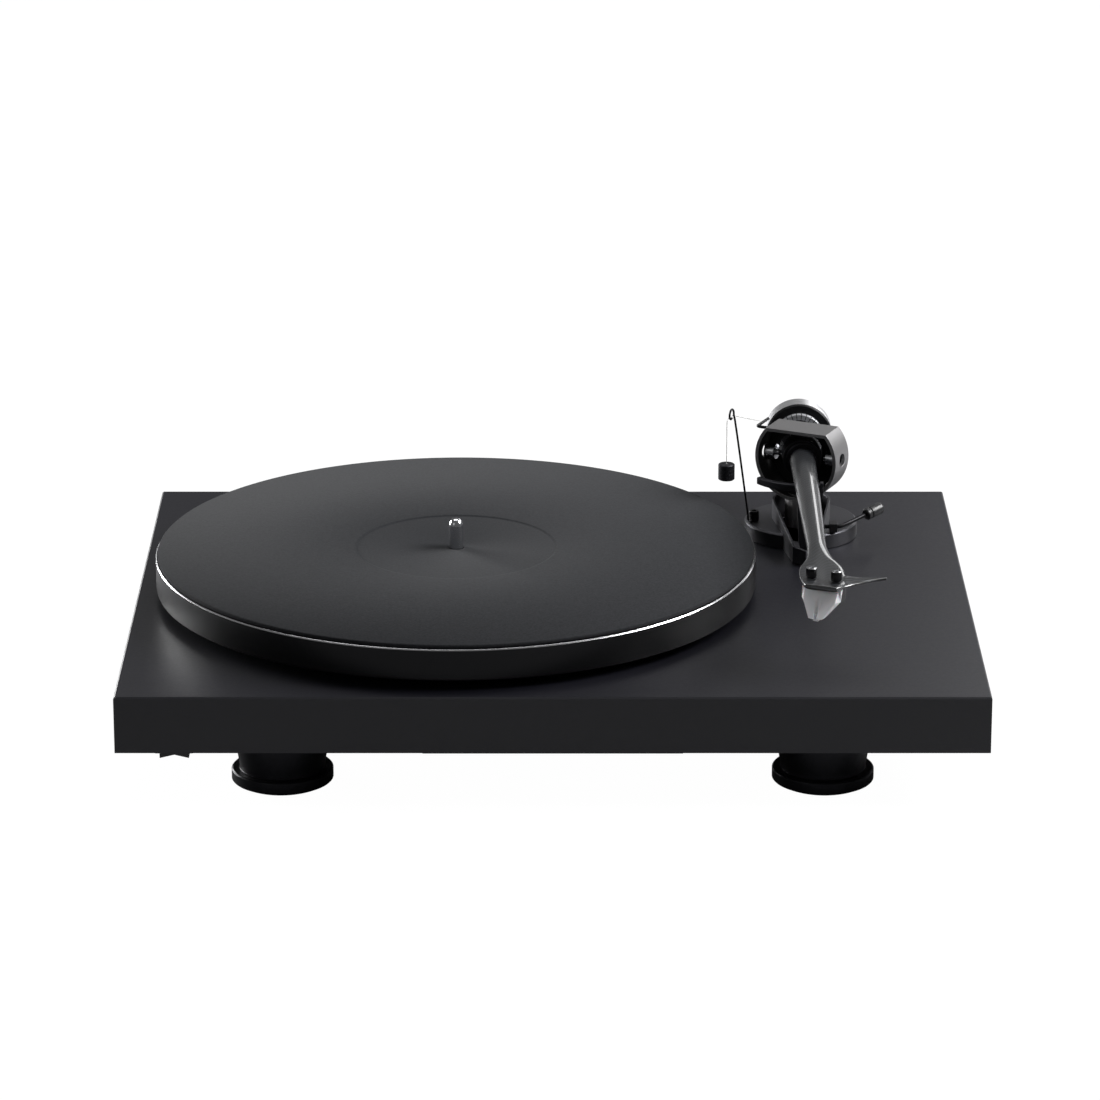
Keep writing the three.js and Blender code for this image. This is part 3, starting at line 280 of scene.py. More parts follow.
for side in ("front_left", "front_right", "rear"):
    low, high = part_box(f"foot_{side}")
    pad_low, pad_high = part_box(f"foot_pad_{side}")
    middle = at((low.x + high.x) / 2, (low.y + high.y) / 2)
    top = plinth_low.z / mm - 0.3
    outer = (high.x - low.x) / 2 / mm
    pad = (pad_high.x - pad_low.x) / 2 / mm
    add_piece(f"foot_{side}_turning", turned([
        (0, 2.6), (pad + 0.3, 2.6), (pad + 0.3, 1.4), (outer - 0.7, 1.4), (outer, 2.1),
        (outer, 6.9), (outer - 0.7, 7.6), (20.6, 7.6), (20.5, 8.4), (20.9, 11), (22.1, top - 8),
        (22.3, top - 4), (22.3, top - 0.5), (21.8, top), (3, top), (3, top + 12), (0, top + 12),
    ], middle), anodised, f"foot_{side}", f"foot_{side}", 0.2)
    add_piece(f"foot_{side}_sole", turned([
        (0, 0), (pad - 1.2, 0), (pad - 0.3, 0.4), (pad, 1.2), (pad, 2.2), (0, 2.2),
    ], middle), pad_rubber, f"foot_{side}", f"foot_pad_{side}")

# --------------------------------------------------------- platter and bearing
# The platter is a turned aluminium dish: black satin outside, with its top edge
# cut bright. A thin felt covers it, hollowed slightly for a record's label, and
# the polished spindle stands through both.
platter_low, platter_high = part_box("platter")
mat_low, mat_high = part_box("platter_mat")
spindle_low, spindle_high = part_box("spindle")
axis = at((platter_low.x + platter_high.x) / 2, (platter_low.y + platter_high.y) / 2)
rim = (platter_high.x - platter_low.x) / 2 / mm
floor_z = platter_low.z / mm
rim_z = platter_high.z / mm
felt_z = mat_high.z / mm

rim_black, tree, shader = surface("satin black platter rim", "#141416", 0.34, 0.6)
varied(tree, shader, grain(tree, shader, 0.6, 0.005, stretch=(1, 1, 6)), 0.3, 0.4)
bright_cut, tree, shader = surface("diamond-cut aluminium", "#D5D5D8", 0.22, 1.0)

bm = turned([
    (3.9, rim_z - 4), (rim - 12, rim_z - 4), (rim - 12, floor_z), (rim - 0.8, floor_z),
    (rim - 0.1, floor_z + 0.5), (rim, floor_z + 1.4), (rim, rim_z - 0.55), (rim - 0.45, rim_z - 0.1),
    (rim - 0.6, rim_z), (3.9, rim_z),
], axis, steps=192, closed=True)
for face in bm.faces:
    middle = face.calc_center_median()
    reach = (middle - axis.translation).xy.length / mm
    if reach > rim - 0.9 and middle.z / mm > rim_z - 0.5:
        face.material_index = 1
add_piece("platter_dish", bm, [rim_black, bright_cut], "platter", "platter")

felt, tree, shader = surface("grey wool felt", "#202224", 0.95, Sheen_Weight=0.03, Sheen_Roughness=0.6)
shader.inputs["Specular IOR Level"].default_value = 0.12
place = add_node(tree, "ShaderNodeTexCoord")
fibres = add_node(
    tree, "ShaderNodeTexNoise", {"Scale": 900.0, "Detail": 4.0, "Roughness": 0.75},
    {"Vector": place.outputs["Object"]},
)
matting = add_node(
    tree, "ShaderNodeTexNoise", {"Scale": 260.0, "Detail": 5.0, "Roughness": 0.7, "Distortion": 1.5},
    {"Vector": place.outputs["Object"]},
)
tones = add_node(tree, "ShaderNodeValToRGB", links={"Fac": fibres.outputs["Fac"]})
tones.color_ramp.elements[0].position = 0.3
tones.color_ramp.elements[0].color = linear("#1A1B1D")
tones.color_ramp.elements[1].position = 0.72
tones.color_ramp.elements[1].color = linear("#28292C")
tree.links.new(tones.outputs["Color"], shader.inputs["Base Color"])
nap = add_node(
    tree, "ShaderNodeBump", {"Strength": 0.8, "Distance": 0.12 * mm}, {"Height": matting.outputs["Fac"]},
)
fuzz = add_node(
    tree, "ShaderNodeBump", {"Strength": 0.8, "Distance": 0.06 * mm},
    {"Height": fibres.outputs["Fac"], "Normal": nap.outputs[0]},
)
tree.links.new(fuzz.outputs[0], shader.inputs["Normal"])
felt_edge = (mat_high.x - mat_low.x) / 2 / mm
felt_floor = mat_low.z / mm
add_piece("felt_mat", turned([
    (3.9, felt_floor), (felt_edge - 0.2, felt_floor), (felt_edge, felt_floor + 0.3),
    (felt_edge - 0.1, felt_z - 0.5), (felt_edge - 0.6, felt_z), (50.9, felt_z), (50.2, felt_z - 0.15),
    (49.8, felt_z - 0.5), (49.2, felt_z - 0.6), (4.4, felt_z - 0.6), (3.9, felt_z - 0.8),
], axis, steps=192, closed=True), felt, "platter", "platter_mat", keep_sharp=50)

polished, tree, shader = surface("polished turned steel", "#C9CACD", 0.16, 1.0)
varied(tree, shader, grain(tree, shader, 0.5, 0.002, stretch=(1, 1, 8)), 0.12, 0.22)
tip = spindle_high.z / mm
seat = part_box("sub_platter")[0].z / mm - 0.3
add_piece("spindle_turning", turned([
    (0, spindle_low.z / mm), (5, spindle_low.z / mm), (5, seat), (3.6, seat), (3.6, tip - 3.6),
    (3.5, tip - 3.0), (3.15, tip - 1.9), (2.5, tip - 0.9), (1.6, tip - 0.25), (0.7, tip), (0, tip),
], axis, steps=64), polished, "platter", "spindle", keep_sharp=40)

low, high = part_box("sub_platter")
hub_z = low.z / mm
web_z = high.z / mm
acetal, tree, shader = surface("black acetal", "#1B1B1C", 0.42)
grain(tree, shader, 0.4, 0.01, stretch=(1, 1, 5))
add_piece("sub_platter_turning", turned([
    (3.9, hub_z), (13.6, hub_z), (14, hub_z + 0.4), (14, web_z - 3), (72, web_z - 3), (72, hub_z + 0.3),
    (72.3, hub_z), (78.7, hub_z), (79, hub_z + 0.3), (79, web_z - 0.3), (78.7, web_z), (3.9, web_z),
], axis, steps=144, closed=True), acetal, "platter", "sub_platter")


# ---------------------------------------------------------------- bearing drum
# A flat-topped ring machined from bar and blasted grey. It turns sideways on a
# hidden bearing, and carries the pivot screws that the arm tilts on.
low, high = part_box("arm_pillar")
collar_low, collar_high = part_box("arm_gimbal_collar")
arm_foot = at((low.x + high.x) / 2, (low.y + high.y) / 2, plinth_top)
arm_axis = arm_foot @ at(0, 0, (collar_low.z + collar_high.z) / 2 - plinth_top)
offset = math.radians(-25)
drum_frame = arm_axis @ Matrix.Rotation(offset, 4, "Z")

blasted, tree, shader = surface("bead-blasted grey aluminium", "#8E8D8E", 0.42, 0.9)
varied(tree, shader, grain(tree, shader, 0.18, 0.02), 0.36, 0.5)
cast_black, tree, shader = surface("blasted black aluminium", "#2C2C30", 0.45, 0.8)
varied(tree, shader, grain(tree, shader, 0.2, 0.015), 0.38, 0.5)
black_steel, tree, shader = surface("blackened steel wire", "#1B1B1D", 0.3, 0.8)
varied(tree, shader, grain(tree, shader, 0.6, 0.004), 0.24, 0.36)


def lofted(rings, place):
    """A bmesh skinned over rings of points, in millimetres, and closed at both ends."""
    bm = bmesh.new()
    made = [[bm.verts.new([value * mm for value in point]) for point in ring] for ring in rings]
    for one, other in zip(made, made[1:]):
        for index in range(len(one)):
            bm.faces.new((one[index - 1], one[index], other[index], other[index - 1]))
    bm.faces.new(made[0])
    bm.faces.new(made[-1])
    bmesh.ops.recalc_face_normals(bm, faces=bm.faces)
    bmesh.ops.transform(bm, matrix=place, verts=bm.verts)
    return bm


def joined(*parts):
    """Several bmeshes as one."""
    whole = bmesh.new()
    for part in parts:
        data = bpy.data.meshes.new("part")
        part.to_mesh(data)
        part.free()
        whole.from_mesh(data)
        bpy.data.meshes.remove(data)
    return whole


def pierced(body, cutter):
    """A bmesh with another cut out of it."""
    shapes = []
    for bm in (body, cutter):
        data = bpy.data.meshes.new("shape")
        bm.to_mesh(data)
        bm.free()
        shapes.append(bpy.data.objects.new("shape", data))
        bpy.context.collection.objects.link(shapes[-1])
    cut = shapes[0].modifiers.new("cut", "BOOLEAN")
    cut.object = shapes[1]
    result = bmesh.new()
    result.from_object(shapes[0], bpy.context.evaluated_depsgraph_get())
    for shape in shapes:
        bpy.data.objects.remove(shape)
    return result


def flat_topped(radius, flat):
    """A round outline whose top is cut off flat."""
    edge = math.asin(flat / radius)
    around = [math.pi - edge + (math.pi + 2 * edge) * step / 88 for step in range(89)]
    return [(radius * math.cos(a), radius * math.sin(a)) for a in around]


def drum_shell(radius, flat, wall, half, place):
    """A flat-topped tube lying along Y, open at both ends."""
    outer = flat_topped(radius, flat)
    inner = flat_topped(radius - wall, flat - wall)
    bm = bmesh.new()
    loops = [
        [bm.verts.new((x * mm, y * mm, z * mm)) for x, z in plan]
        for plan, y in ((outer, -half), (outer, half), (inner, half), (inner, -half))
    ]
    for one, other in zip(loops, loops[1:] + loops[:1]):
        for index in range(len(one)):
            bm.faces.new((one[index - 1], one[index], other[index], other[index - 1]))
    bmesh.ops.recalc_face_normals(bm, faces=bm.faces)
    bmesh.ops.transform(bm, matrix=place, verts=bm.verts)
    return bm


across = Matrix.Rotation(math.pi / 2, 4, "Y")
lengthwise = Matrix.Rotation(-math.pi / 2, 4, "X")
# Painted shade: a near-black matt material that stands in for the shade in the drum's hollow.
drum_hollow_shade, tree, shader = surface("painted shade inside the drum", "#0B0B0C", 0.8, 0.2)
grain(tree, shader, 0.2, 0.01)
shell_mesh = pierced(
    drum_shell(22.4, 15.1, 1.8, 8.9, drum_frame),
    turned([(0, -30), (3.5, -30), (3.5, 30), (0, 30)], drum_frame @ across, steps=40),
)
boss = turned([(0, -22.7), (7, -22.7), (7, -19.6), (0, -19.6)], drum_frame, steps=48)
web = pierced(
    lofted([[Vector((x, y, z)) for x, z in flat_topped(20.7, 13.4)] for y in (7.2, 8.6)], drum_frame),
    turned([(0, 0), (10.8, 0), (10.8, 30), (0, 30)], arm_axis @ lengthwise, steps=64),
)
drum_mesh = joined(shell_mesh, boss, web)
# Painted shade: the faces inside the shell and the web across its back take the near-black material, for the
# dark hollow of the drum.
for polygon in drum_mesh.faces:
    point = drum_frame.inverted() @ polygon.calc_center_median()
    if point.xz.length < 20.9 * mm and point.z < 13.4 * mm and abs(point.y) < 8.65 * mm:
        polygon.material_index = 1
add_piece("drum_ring", drum_mesh, [blasted, drum_hollow_shade], "arm_drum", "arm_drum", 0.35, 30)

steel, tree, shader = surface("turned stainless steel", "#B4B5B8", 0.24, 1.0)
varied(tree, shader, grain(tree, shader, 0.4, 0.004), 0.18, 0.32)
for side, sign in (("left", -1), ("right", 1)):
    add_piece(f"pivot_{side}", turned([
        (0, 10.9), (0.25, 11.2), (1.3, 12.4), (1.5, 12.6), (1.5, 14), (3.9, 14), (4.3, 14.4),
        (4.3, 19.4), (3.9, 19.8), (1.7, 19.8), (1.5, 19.6), (1.5, 18.6), (0, 18.6),
    ], drum_frame @ Matrix.Rotation(sign * math.pi / 2, 4, "Y"), steps=48), steel, "arm_drum",
        f"pivot_screw_{side}", 0.15)


def eased(points, steps=8):
    """Points on a smooth curve through the given ones, with that many to each span."""
    points = [Vector(point) for point in points]
    ends = [2 * points[0] - points[1], *points, 2 * points[-1] - points[-2]]
    curve = []
    for a, b, c, d in zip(ends, ends[1:], ends[2:], ends[3:]):
        for step in range(steps):
            t = step / steps
            curve.append(0.5 * (
                2 * b + (c - a) * t + (2 * a - 5 * b + 4 * c - d) * t ** 2
                + (3 * b - a - 3 * c + d) * t ** 3
            ))
    return curve + [points[-1]]


def swept(points, radius, place, sides=14):
    """A round bar along points in millimetres; the radius is a number or one for each point."""
    tangents = [
        (after - before).normalized()
        for before, after in zip([points[0], *points[:-1]], [*points[1:], points[-1]])
    ]
    side = tangents[0].orthogonal().normalized()
    rings = []
    for index, (point, tangent) in enumerate(zip(points, tangents)):
        side = (side - side.dot(tangent) * tangent).normalized()
        up = tangent.cross(side)
        size = radius[index] if isinstance(radius, list) else radius
        rings.append([
            point + size * (math.cos(a) * side + math.sin(a) * up)
            for a in (2 * math.pi * step / sides for step in range(sides))
        ])
    return lofted(rings, place)


stub_line = eased([(-18.2, -4, 13.6), (-21.6, -4, 13.6), (-23.2, -3.4, 13.6), (-23.6, -1.6, 13.6),
                   (-23.6, 4.7, 13.6), (-23.6, 11, 13.6)], 12)
stub_size = [
    0.55 if any(abs(point.y - groove) < 0.45 for groove in (3, 6, 9)) else 0.8 for point in stub_line
]
add_piece("skate_stub", swept(stub_line, stub_size, drum_frame), black_steel, "arm_drum",
          "antiskate_stub")
recoat(blasted, "arm_pillar")
recoat(steel, "arm_axle", "arm_bearing")

# ---------------------------------------------------------------- tonearm base
# One grey casting, blasted matt: a round foot with a bevelled rim, and a trough
# that runs forward from under the drum and slopes down to a narrow nose. A
# spigot holds it in the board, and a small tube in the trough guides the lift.
trough_wall = 1.2
trough_floor = 5
foot_bottom, foot_top = 0.2, 8.2
rim_back, rim_nose = 18.9, 9.3
nose_y, slope_end = -49.9, -2.4


def trough_ring(inset, level):
    """The trough's outline, drawn in by a wall, at a level or at the height of its own rim."""
    back, nose = 15 - inset, 6.4 - inset
    shoulder = nose_y + 0.4 * inset
    plan = [(0, nose_y - 5.3 + 1.4 * inset), (nose, shoulder)]
    for step in range(41):
        angle = math.pi * step / 40
        plan.append((back * math.cos(angle), back * math.sin(angle)))
    plan.append((-nose, shoulder))
    slope = (rim_back - rim_nose) / (slope_end - nose_y)
    if level is None:
        return [Vector((x, y, min(rim_back, rim_nose + slope * (y - nose_y)))) for x, y in plan]
    return [Vector((x, y, level)) for x, y in plan]


def trough_hollow():
    """The space inside the trough, open above, that cuts the foot and the trough alike."""
    return lofted([trough_ring(trough_wall, trough_floor), trough_ring(trough_wall, 40)], arm_foot)


disc_mesh = pierced(turned([
    (0, foot_bottom), (29, foot_bottom), (29, 7.3), (28.1, foot_top), (0, foot_top),
], arm_foot, steps=128), trough_hollow())
trough_mesh = pierced(
    lofted([trough_ring(0, foot_bottom), trough_ring(0, None)], arm_foot), trough_hollow(),
)
spigot = turned([(8.6, -34), (13, -34), (13, 1), (8.6, 1)], arm_foot, steps=48, closed=True)
guide_place = arm_foot @ at(6.18 * mm, -25.36 * mm)
guide = turned([(1.4, 5), (3.4, 5), (3.4, 13.6), (3, 14), (2.5, 14), (2.5, 26.7), (2.2, 27), (1.4, 27)],
               guide_place, steps=40, closed=True)
cast_grey, tree, shader = surface("blasted dark grey aluminium", "#4A4A4E", 0.4, 0.85)
varied(tree, shader, grain(tree, shader, 0.2, 0.015), 0.32, 0.46)
add_piece("base_casting", joined(disc_mesh, trough_mesh, spigot, guide), cast_grey, "chassis", "arm_base",
          0.25, 30)

# --------------------------------------------- arm tube, headshell and gimbal
# One moulding of woven carbon under clear resin: a round tapering tube that
# flattens into the headshell and its finger lift. A black collar clamps it.
weave, tree, shader = surface("woven carbon under resin", "#141517", 0.4)
shader.inputs["Coat Weight"].default_value = 1.0
shader.inputs["Coat Roughness"].default_value = 0.06
place = add_node(tree, "ShaderNodeTexCoord")
centred = add_node(
    tree, "ShaderNodeVectorMath", {1: arm_axis.translation}, {0: place.outputs["Object"]},
    operation="SUBTRACT",
)
parts = add_node(tree, "ShaderNodeSeparateXYZ", links={0: centred.outputs[0]})


def reckon(tree, operation, *inputs):
    """One step of arithmetic on numbers or outputs."""
    values = {index: value for index, value in enumerate(inputs) if isinstance(value, (int, float))}
    links = {index: value for index, value in enumerate(inputs) if index not in values}
    return add_node(tree, "ShaderNodeMath", values, links, operation=operation).outputs[0]


tow = 0.9 * mm
turn = reckon(tree, "ARCTAN2", parts.outputs["Z"], parts.outputs["X"])
weft = reckon(tree, "MULTIPLY", turn, 5.2 * mm / tow)
warp = reckon(tree, "DIVIDE", parts.outputs["Y"], tow)
count = reckon(tree, "ADD", reckon(tree, "FLOOR", weft), reckon(tree, "FLOOR", warp))
over = reckon(tree, "LESS_THAN", reckon(tree, "FLOORED_MODULO", count, 4.0), 2.0)
crown_weft = reckon(tree, "ABSOLUTE", reckon(tree, "SINE", reckon(tree, "MULTIPLY", weft, math.pi)))
crown_warp = reckon(tree, "ABSOLUTE", reckon(tree, "SINE", reckon(tree, "MULTIPLY", warp, math.pi)))
crown = add_node(tree, "ShaderNodeMix", links={0: over, 2: crown_weft, 3: crown_warp})
shade = add_node(tree, "ShaderNodeMix", links={0: over}, data_type="RGBA")
shade.inputs[6].default_value = linear("#0C0D0E")
shade.inputs[7].default_value = linear("#232529")
tree.links.new(shade.outputs[2], shader.inputs["Base Color"])
bump = add_node(
    tree, "ShaderNodeBump", {"Strength": 0.7, "Distance": 0.06 * mm}, {"Height": crown.outputs[0]},
)
tree.links.new(bump.outputs[0], shader.inputs["Normal"])

# Each row: left and right edge (x, y), middle height, half thickness, squareness.
sections = [
    ((-6.8, 9), (6.8, 9), 0, 6.8, 2), ((-6.8, 0), (6.8, 0), 0, 6.8, 2),
    ((-6.27, -40), (6.27, -40), 0, 6.27, 2), ((-5.75, -80), (5.75, -80), 0, 5.75, 2),
    ((-5.2, -120), (5.2, -120), 0, 5.2, 2), ((-4.8, -150), (4.8, -150), 0, 4.8, 2),
    ((-5, -158), (5.1, -158), 0, 4.5, 2.05), ((-5.3, -166), (6.0, -166), 0, 3.8, 2.2),
    ((-6.2, -173), (7.2, -173), 0.1, 3.1, 2.5), ((-8.1, -179), (9.3, -179), 0.1, 2.5, 2.9),
    ((-9.9, -186), (10.8, -185), 0.1, 2.0, 3.5), ((-10.4, -192), (11.3, -192), 0.1, 1.65, 4),
    ((-10.2, -199), (11.5, -200.5), 0.1, 1.5, 4.5), ((-9.6, -205), (11.2, -207.6), 0.1, 1.5, 4.5),
    ((-8.9, -208.5), (9.2, -212.8), 0.1, 1.5, 4.5), ((-8.4, -210), (6.9, -215.8), 0.1, 1.45, 4.5),
    ((-7.9, -210.6), (6.4, -216.3), 0.1, 1.1, 4),
]
left = eased([(*row[0], row[2]) for row in sections], 6)
right = eased([(*row[1], row[2]) for row in sections], 6)
shape = eased([(row[3], row[4], 0) for row in sections], 6)
rings = []
for one, other, (thick, square, _) in zip(left, right, shape):
    ring = []
    for step in range(40):
        c, s = math.cos(math.pi * step / 20), math.sin(math.pi * step / 20)
        wide = math.copysign(abs(c) ** (2 / square), c)
        tall = math.copysign(abs(s) ** (2 / square), s)
        ring.append((one + other) / 2 + wide * (other - one) / 2 + Vector((0, 0, thick * tall)))
    rings.append(ring)
tube_mesh = lofted(rings, arm_axis)

# The finger lift: front and back edge, height, half thickness.
lift_rows = [
    ((7, -213), (8, -193), 0.1, 1.4), ((11, -211), (12, -195.4), 0.1, 1.35),
    ((15, -208.4), (16, -197.6), 0.1, 1.2), ((20, -205.8), (20.5, -199), 0.2, 1.0),
    ((25.5, -203.6), (25.8, -200), 0.5, 0.85), ((30.4, -202.4), (30.5, -200.7), 0.9, 0.7),
    ((31, -202), (31, -201), 1.0, 0.4),
]
front = eased([(*row[0], row[2]) for row in lift_rows], 5)
back = eased([(*row[1], row[2]) for row in lift_rows], 5)
thick = eased([(row[3], 0, 0) for row in lift_rows], 5)
finger = lofted([
    [
        (one + other) / 2 + math.cos(a) * (one - other) / 2 + Vector((0, 0, size.x * math.sin(a)))
        for a in (math.pi * step / 10 for step in range(20))
    ] for one, other, size in zip(front, back, thick)
], arm_axis)
add_piece("arm_moulding", joined(tube_mesh, finger), weave, "arm", "arm_tube", keep_sharp=60)

threads = [
    row for step in range(7) for row in (
        (8.5, 6.8 + 0.4 * step), (8.2, 6.95 + 0.4 * step), (8.2, 7.05 + 0.4 * step),
        (8.5, 7.2 + 0.4 * step),
    )
]
collar = [(6.85, 0), (10, 0), (10, 6.2), (9.8, 6.4), (8.5, 6.4), *threads, (8.3, 9.5), (6.85, 9.5)]
mirrored = [(radius, -height) for radius, height in reversed(collar[1:-1])]
add_piece("gimbal_turning", turned(
    [(6.85, -9.5), *mirrored, *collar[2:]], arm_axis @ lengthwise, steps=72, closed=True,
), anodised, "arm", "arm_gimbal_collar")

# -------------------------------------------------------------- counterweight
# A turned steel weight on a rubber bush, with painted shade on its front face,
# that threads along a stub; a light dial ring in front of it counts the force.
weight_low, weight_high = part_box("counterweight")
face = (weight_low.y - arm_axis.translation.y) / mm
length = (weight_high.y - weight_low.y) / mm
girth = (weight_high.x - weight_low.x) / 2 / mm

machined, tree, shader = surface("machined steel", "#DCDCDE", 0.36, 1.0)
varied(tree, shader, grain(tree, shader, 0.5, 0.002, stretch=(1, 9, 1)), 0.32, 0.44)
weight_face_shade, tree, shader = surface("painted shade on the weight's front face", "#18181A", 0.45, 0.6)
varied(tree, shader, grain(tree, shader, 0.3, 0.01), 0.38, 0.52)

bm = turned([
    (12.9, face), (girth - 0.8, face), (girth, face + 0.8), (girth, face + 3), (girth - 0.25, face + 3.2),
    (girth - 0.25, face + 3.6), (girth, face + 3.8), (girth, face + length - 1.2),
    (girth - 1.2, face + length), (9.5, face + length), (9.5, face), (12.9, face),
], arm_axis @ lengthwise, steps=120)
# Painted shade: the front face and its outer chamfer, turned toward the drum's shadow, take a near-black copy
# of the steel.
for polygon in bm.faces:
    if polygon.calc_center_median().y < weight_low.y + 0.9 * mm:
        polygon.material_index = 1
add_piece("weight_turning", bm, [machined, weight_face_shade], "counterweight", "counterweight")

dial_finish, tree, shader = surface("engraved dial ring", "#A9AAAD", 0.4, 0.6)
place = add_node(tree, "ShaderNodeTexCoord")
centred = add_node(
    tree, "ShaderNodeVectorMath", {1: arm_axis.translation}, {0: place.outputs["Object"]},
    operation="SUBTRACT",
)
parts = add_node(tree, "ShaderNodeSeparateXYZ", links={0: centred.outputs[0]})
turn = reckon(tree, "ARCTAN2", parts.outputs["Z"], parts.outputs["X"])
step = reckon(tree, "FRACT", reckon(tree, "MULTIPLY", turn, 30 / (2 * math.pi)))
tick = reckon(tree, "LESS_THAN", step, 0.16)
ink = add_node(tree, "ShaderNodeMix", links={0: tick}, data_type="RGBA")
ink.inputs[6].default_value = linear("#A9AAAD")
ink.inputs[7].default_value = linear("#252527")
tree.links.new(ink.outputs[2], shader.inputs["Base Color"])
varied(tree, shader, grain(tree, shader, 0.2, 0.006), 0.34, 0.48)
add_piece("dial_turning", turned([
    (9.6, face - 2.5), (12.3, face - 2.5), (12.8, face - 2.1), (12.8, face - 0.2), (9.6, face - 0.2),
], arm_axis @ lengthwise, closed=True), dial_finish, "counterweight", "counterweight_dial",
    0.1)
recoat(pad_rubber, "counterweight_bush")
recoat(steel, "counterweight_stub")

# ------------------------------------------------------------------ cartridge
# A black moulded cartridge body under the headshell, held by two knurled thumb
# screws, with a pearl-grey stylus holder that slopes forward to its tip.
shell_frame = arm_axis @ at(0.7 * mm, -205.3 * mm, -1.4 * mm) @ Matrix.Rotation(offset, 4, "Z")
moulded, tree, shader = surface("moulded black plastic", "#161618", 0.36)
varied(tree, shader, grain(tree, shader, 0.25, 0.008), 0.3, 0.44)
pearl, tree, shader = surface("pearl-grey stylus plastic", "#E4E4E6", 0.3, 0.0)
shader.inputs["Subsurface Weight"].default_value = 0.15
shader.inputs["Subsurface Scale"].default_value = 1.5 * mm
shader.inputs["Coat Weight"].default_value = 0.5
flakes = grain(tree, shader, 0.12, 0.004)
tint = add_node(tree, "ShaderNodeValToRGB", links={"Fac": flakes.outputs["Fac"]})
tint.color_ramp.elements[0].color = linear("#D6D6D9")
tint.color_ramp.elements[1].color = linear("#F4F4F6")
tree.links.new(tint.outputs["Color"], shader.inputs["Base Color"])
gilt, tree, shader = surface("gold-plated contact", "#C9A24D", 0.28, 1.0)
varied(tree, shader, grain(tree, shader, 0.3, 0.003), 0.22, 0.34)

half = 7.8
side = [(-2.2, -0.2), (-2.2, -5.6), (3, -9.5), (8.5, -9.5), (10, -8), (10, -0.2)]
body_mesh = lofted([[Vector((x, y, z)) for y, z in side] for x in (-half, half)], shell_frame)
pin_z = -4.6
pins = [
    swept([Vector((x, y, pin_z)) for y in (9, 14.2, 14.5)], [0.6, 0.6, 0.4], shell_frame)
    for x in (-4.5, -1.5, 1.5, 4.5)
]
for pin in pins:
    for polygon in pin.faces:
        polygon.material_index = 1
add_piece("cartridge_moulding", joined(body_mesh, *pins), [moulded, gilt], "arm", "cartridge_body",
          0.35)


def prow(z, half_front, half_back, front, back, notch):
    """One level of the stylus holder, front notch first."""
    right = [
        (half_front * 0.22, -front), (half_front, -front + 0.9), (half_back, -front + 3.4), (half_back, back),
    ]
    plan = [(0, -front + notch), *right, (0, back), *[(-x, y) for x, y in reversed(right)]]
    return [Vector((x, y, z)) for x, y in plan]


holder = lofted([
    prow(-13.4, 3.4, 3.8, 11.4, -4.2, 1.6), prow(-6, 8.2, 9.9, 6.4, -2.6, 0),
    prow(-0.3, 8.6, 10, 3.6, -2.5, 0),
], shell_frame)
slot_cut = bmesh.new()
bmesh.ops.create_cube(slot_cut, size=1)
slot_size = Matrix.Diagonal((2.6 * mm, 5 * mm, 4 * mm, 1))
bmesh.ops.transform(
    slot_cut, matrix=shell_frame @ at(0, -7.2 * mm, -12.8 * mm) @ slot_size, verts=slot_cut.verts,
)
add_piece("stylus_moulding", pierced(holder, slot_cut), pearl, "stylus", "stylus_holder",
          0.4, 20)
add_piece("cantilever_tube", swept(
    [Vector((0, -5.1, -11.8)), Vector((0, -8.6, -13.75)), Vector((0, -9.5, -14.3))], [0.35, 0.3, 0.2],
    shell_frame), steel, "stylus", "cantilever")


def knurled(profile, teeth, place):
    """A bmesh turned from (radius, tooth depth, height) rows, so that it is cut with fine teeth."""
    rings = []
    for radius, depth, z in profile:
        ring = []
        for step in range(2 * teeth):
            angle = math.pi * step / teeth
            reach = radius - depth * (step % 2)
            ring.append(Vector((reach * math.cos(angle), reach * math.sin(angle), z)))
        rings.append(ring)
    return lofted(rings, place)


for side, sign in (("left", -1), ("right", 1)):
    place = shell_frame @ at(sign * 6.42 * mm, 0)
    nut = joined(
        knurled([
            (2.1, 0, 3.3), (2.6, 0, 3.7), (2.6, 0, 4.1), (2.6, 0.18, 4.3), (2.6, 0.18, 7.6), (2.6, 0, 7.8),
            (2.6, 0, 8.3), (2.25, 0, 8.6), (1.1, 0, 8.6), (1.0, 0, 8.2), (0.2, 0, 8.2),
        ], 30, place),
        turned([(0, -6.5), (1.1, -6.5), (1.1, 4), (0, 4)], place, steps=24),
    )
    # Painted shade: the knurled sides and undersides of each nut take the blackened steel, and only the faces
    # turned upward, with the screw's core, keep the bright steel, so the tops read as lit.
    for polygon in nut.faces:
        if polygon.normal.z < 0.5 and (place.inverted() @ polygon.calc_center_median()).xy.length > 2.2 * mm:
            polygon.material_index = 1
    add_piece(f"thumb_nut_{side}", nut, [steel, black_steel], "arm", f"thumb_screw_{side}",
              keep_sharp=30)

# ---------------------------------------------------- cueing lift and arm rest
# A curved black bar rises under the tube when the lever in front of the base is
# raised. The lever is bent wire with a moulded grip; the rest is folded plate.
around = [math.radians(211 + 80 * step / 32) for step in range(33)]
bar_section = [
    (24.6, 31.5), (24.6, 34.6), (25.1, 35), (27.1, 35), (27.6, 34.6), (27.6, 31.5), (27.2, 31.2), (25, 31.2),
]
bar = lofted([
    [Vector((r * math.cos(a), r * math.sin(a), z)) for r, z in bar_section] for a in around
], arm_foot)
rod_radius, rod_angle = 26.1, math.radians(283.7)
rod_x, rod_y = rod_radius * math.cos(rod_angle), rod_radius * math.sin(rod_angle)
rod = turned([(0, 12.6), (1.2, 12.6), (1.2, 32), (0, 32)], arm_foot @ at(rod_x * mm, rod_y * mm), steps=32)
add_piece("lift_arc", joined(bar, rod), cast_black, "cue_lift", "lift_bar", 0.12)

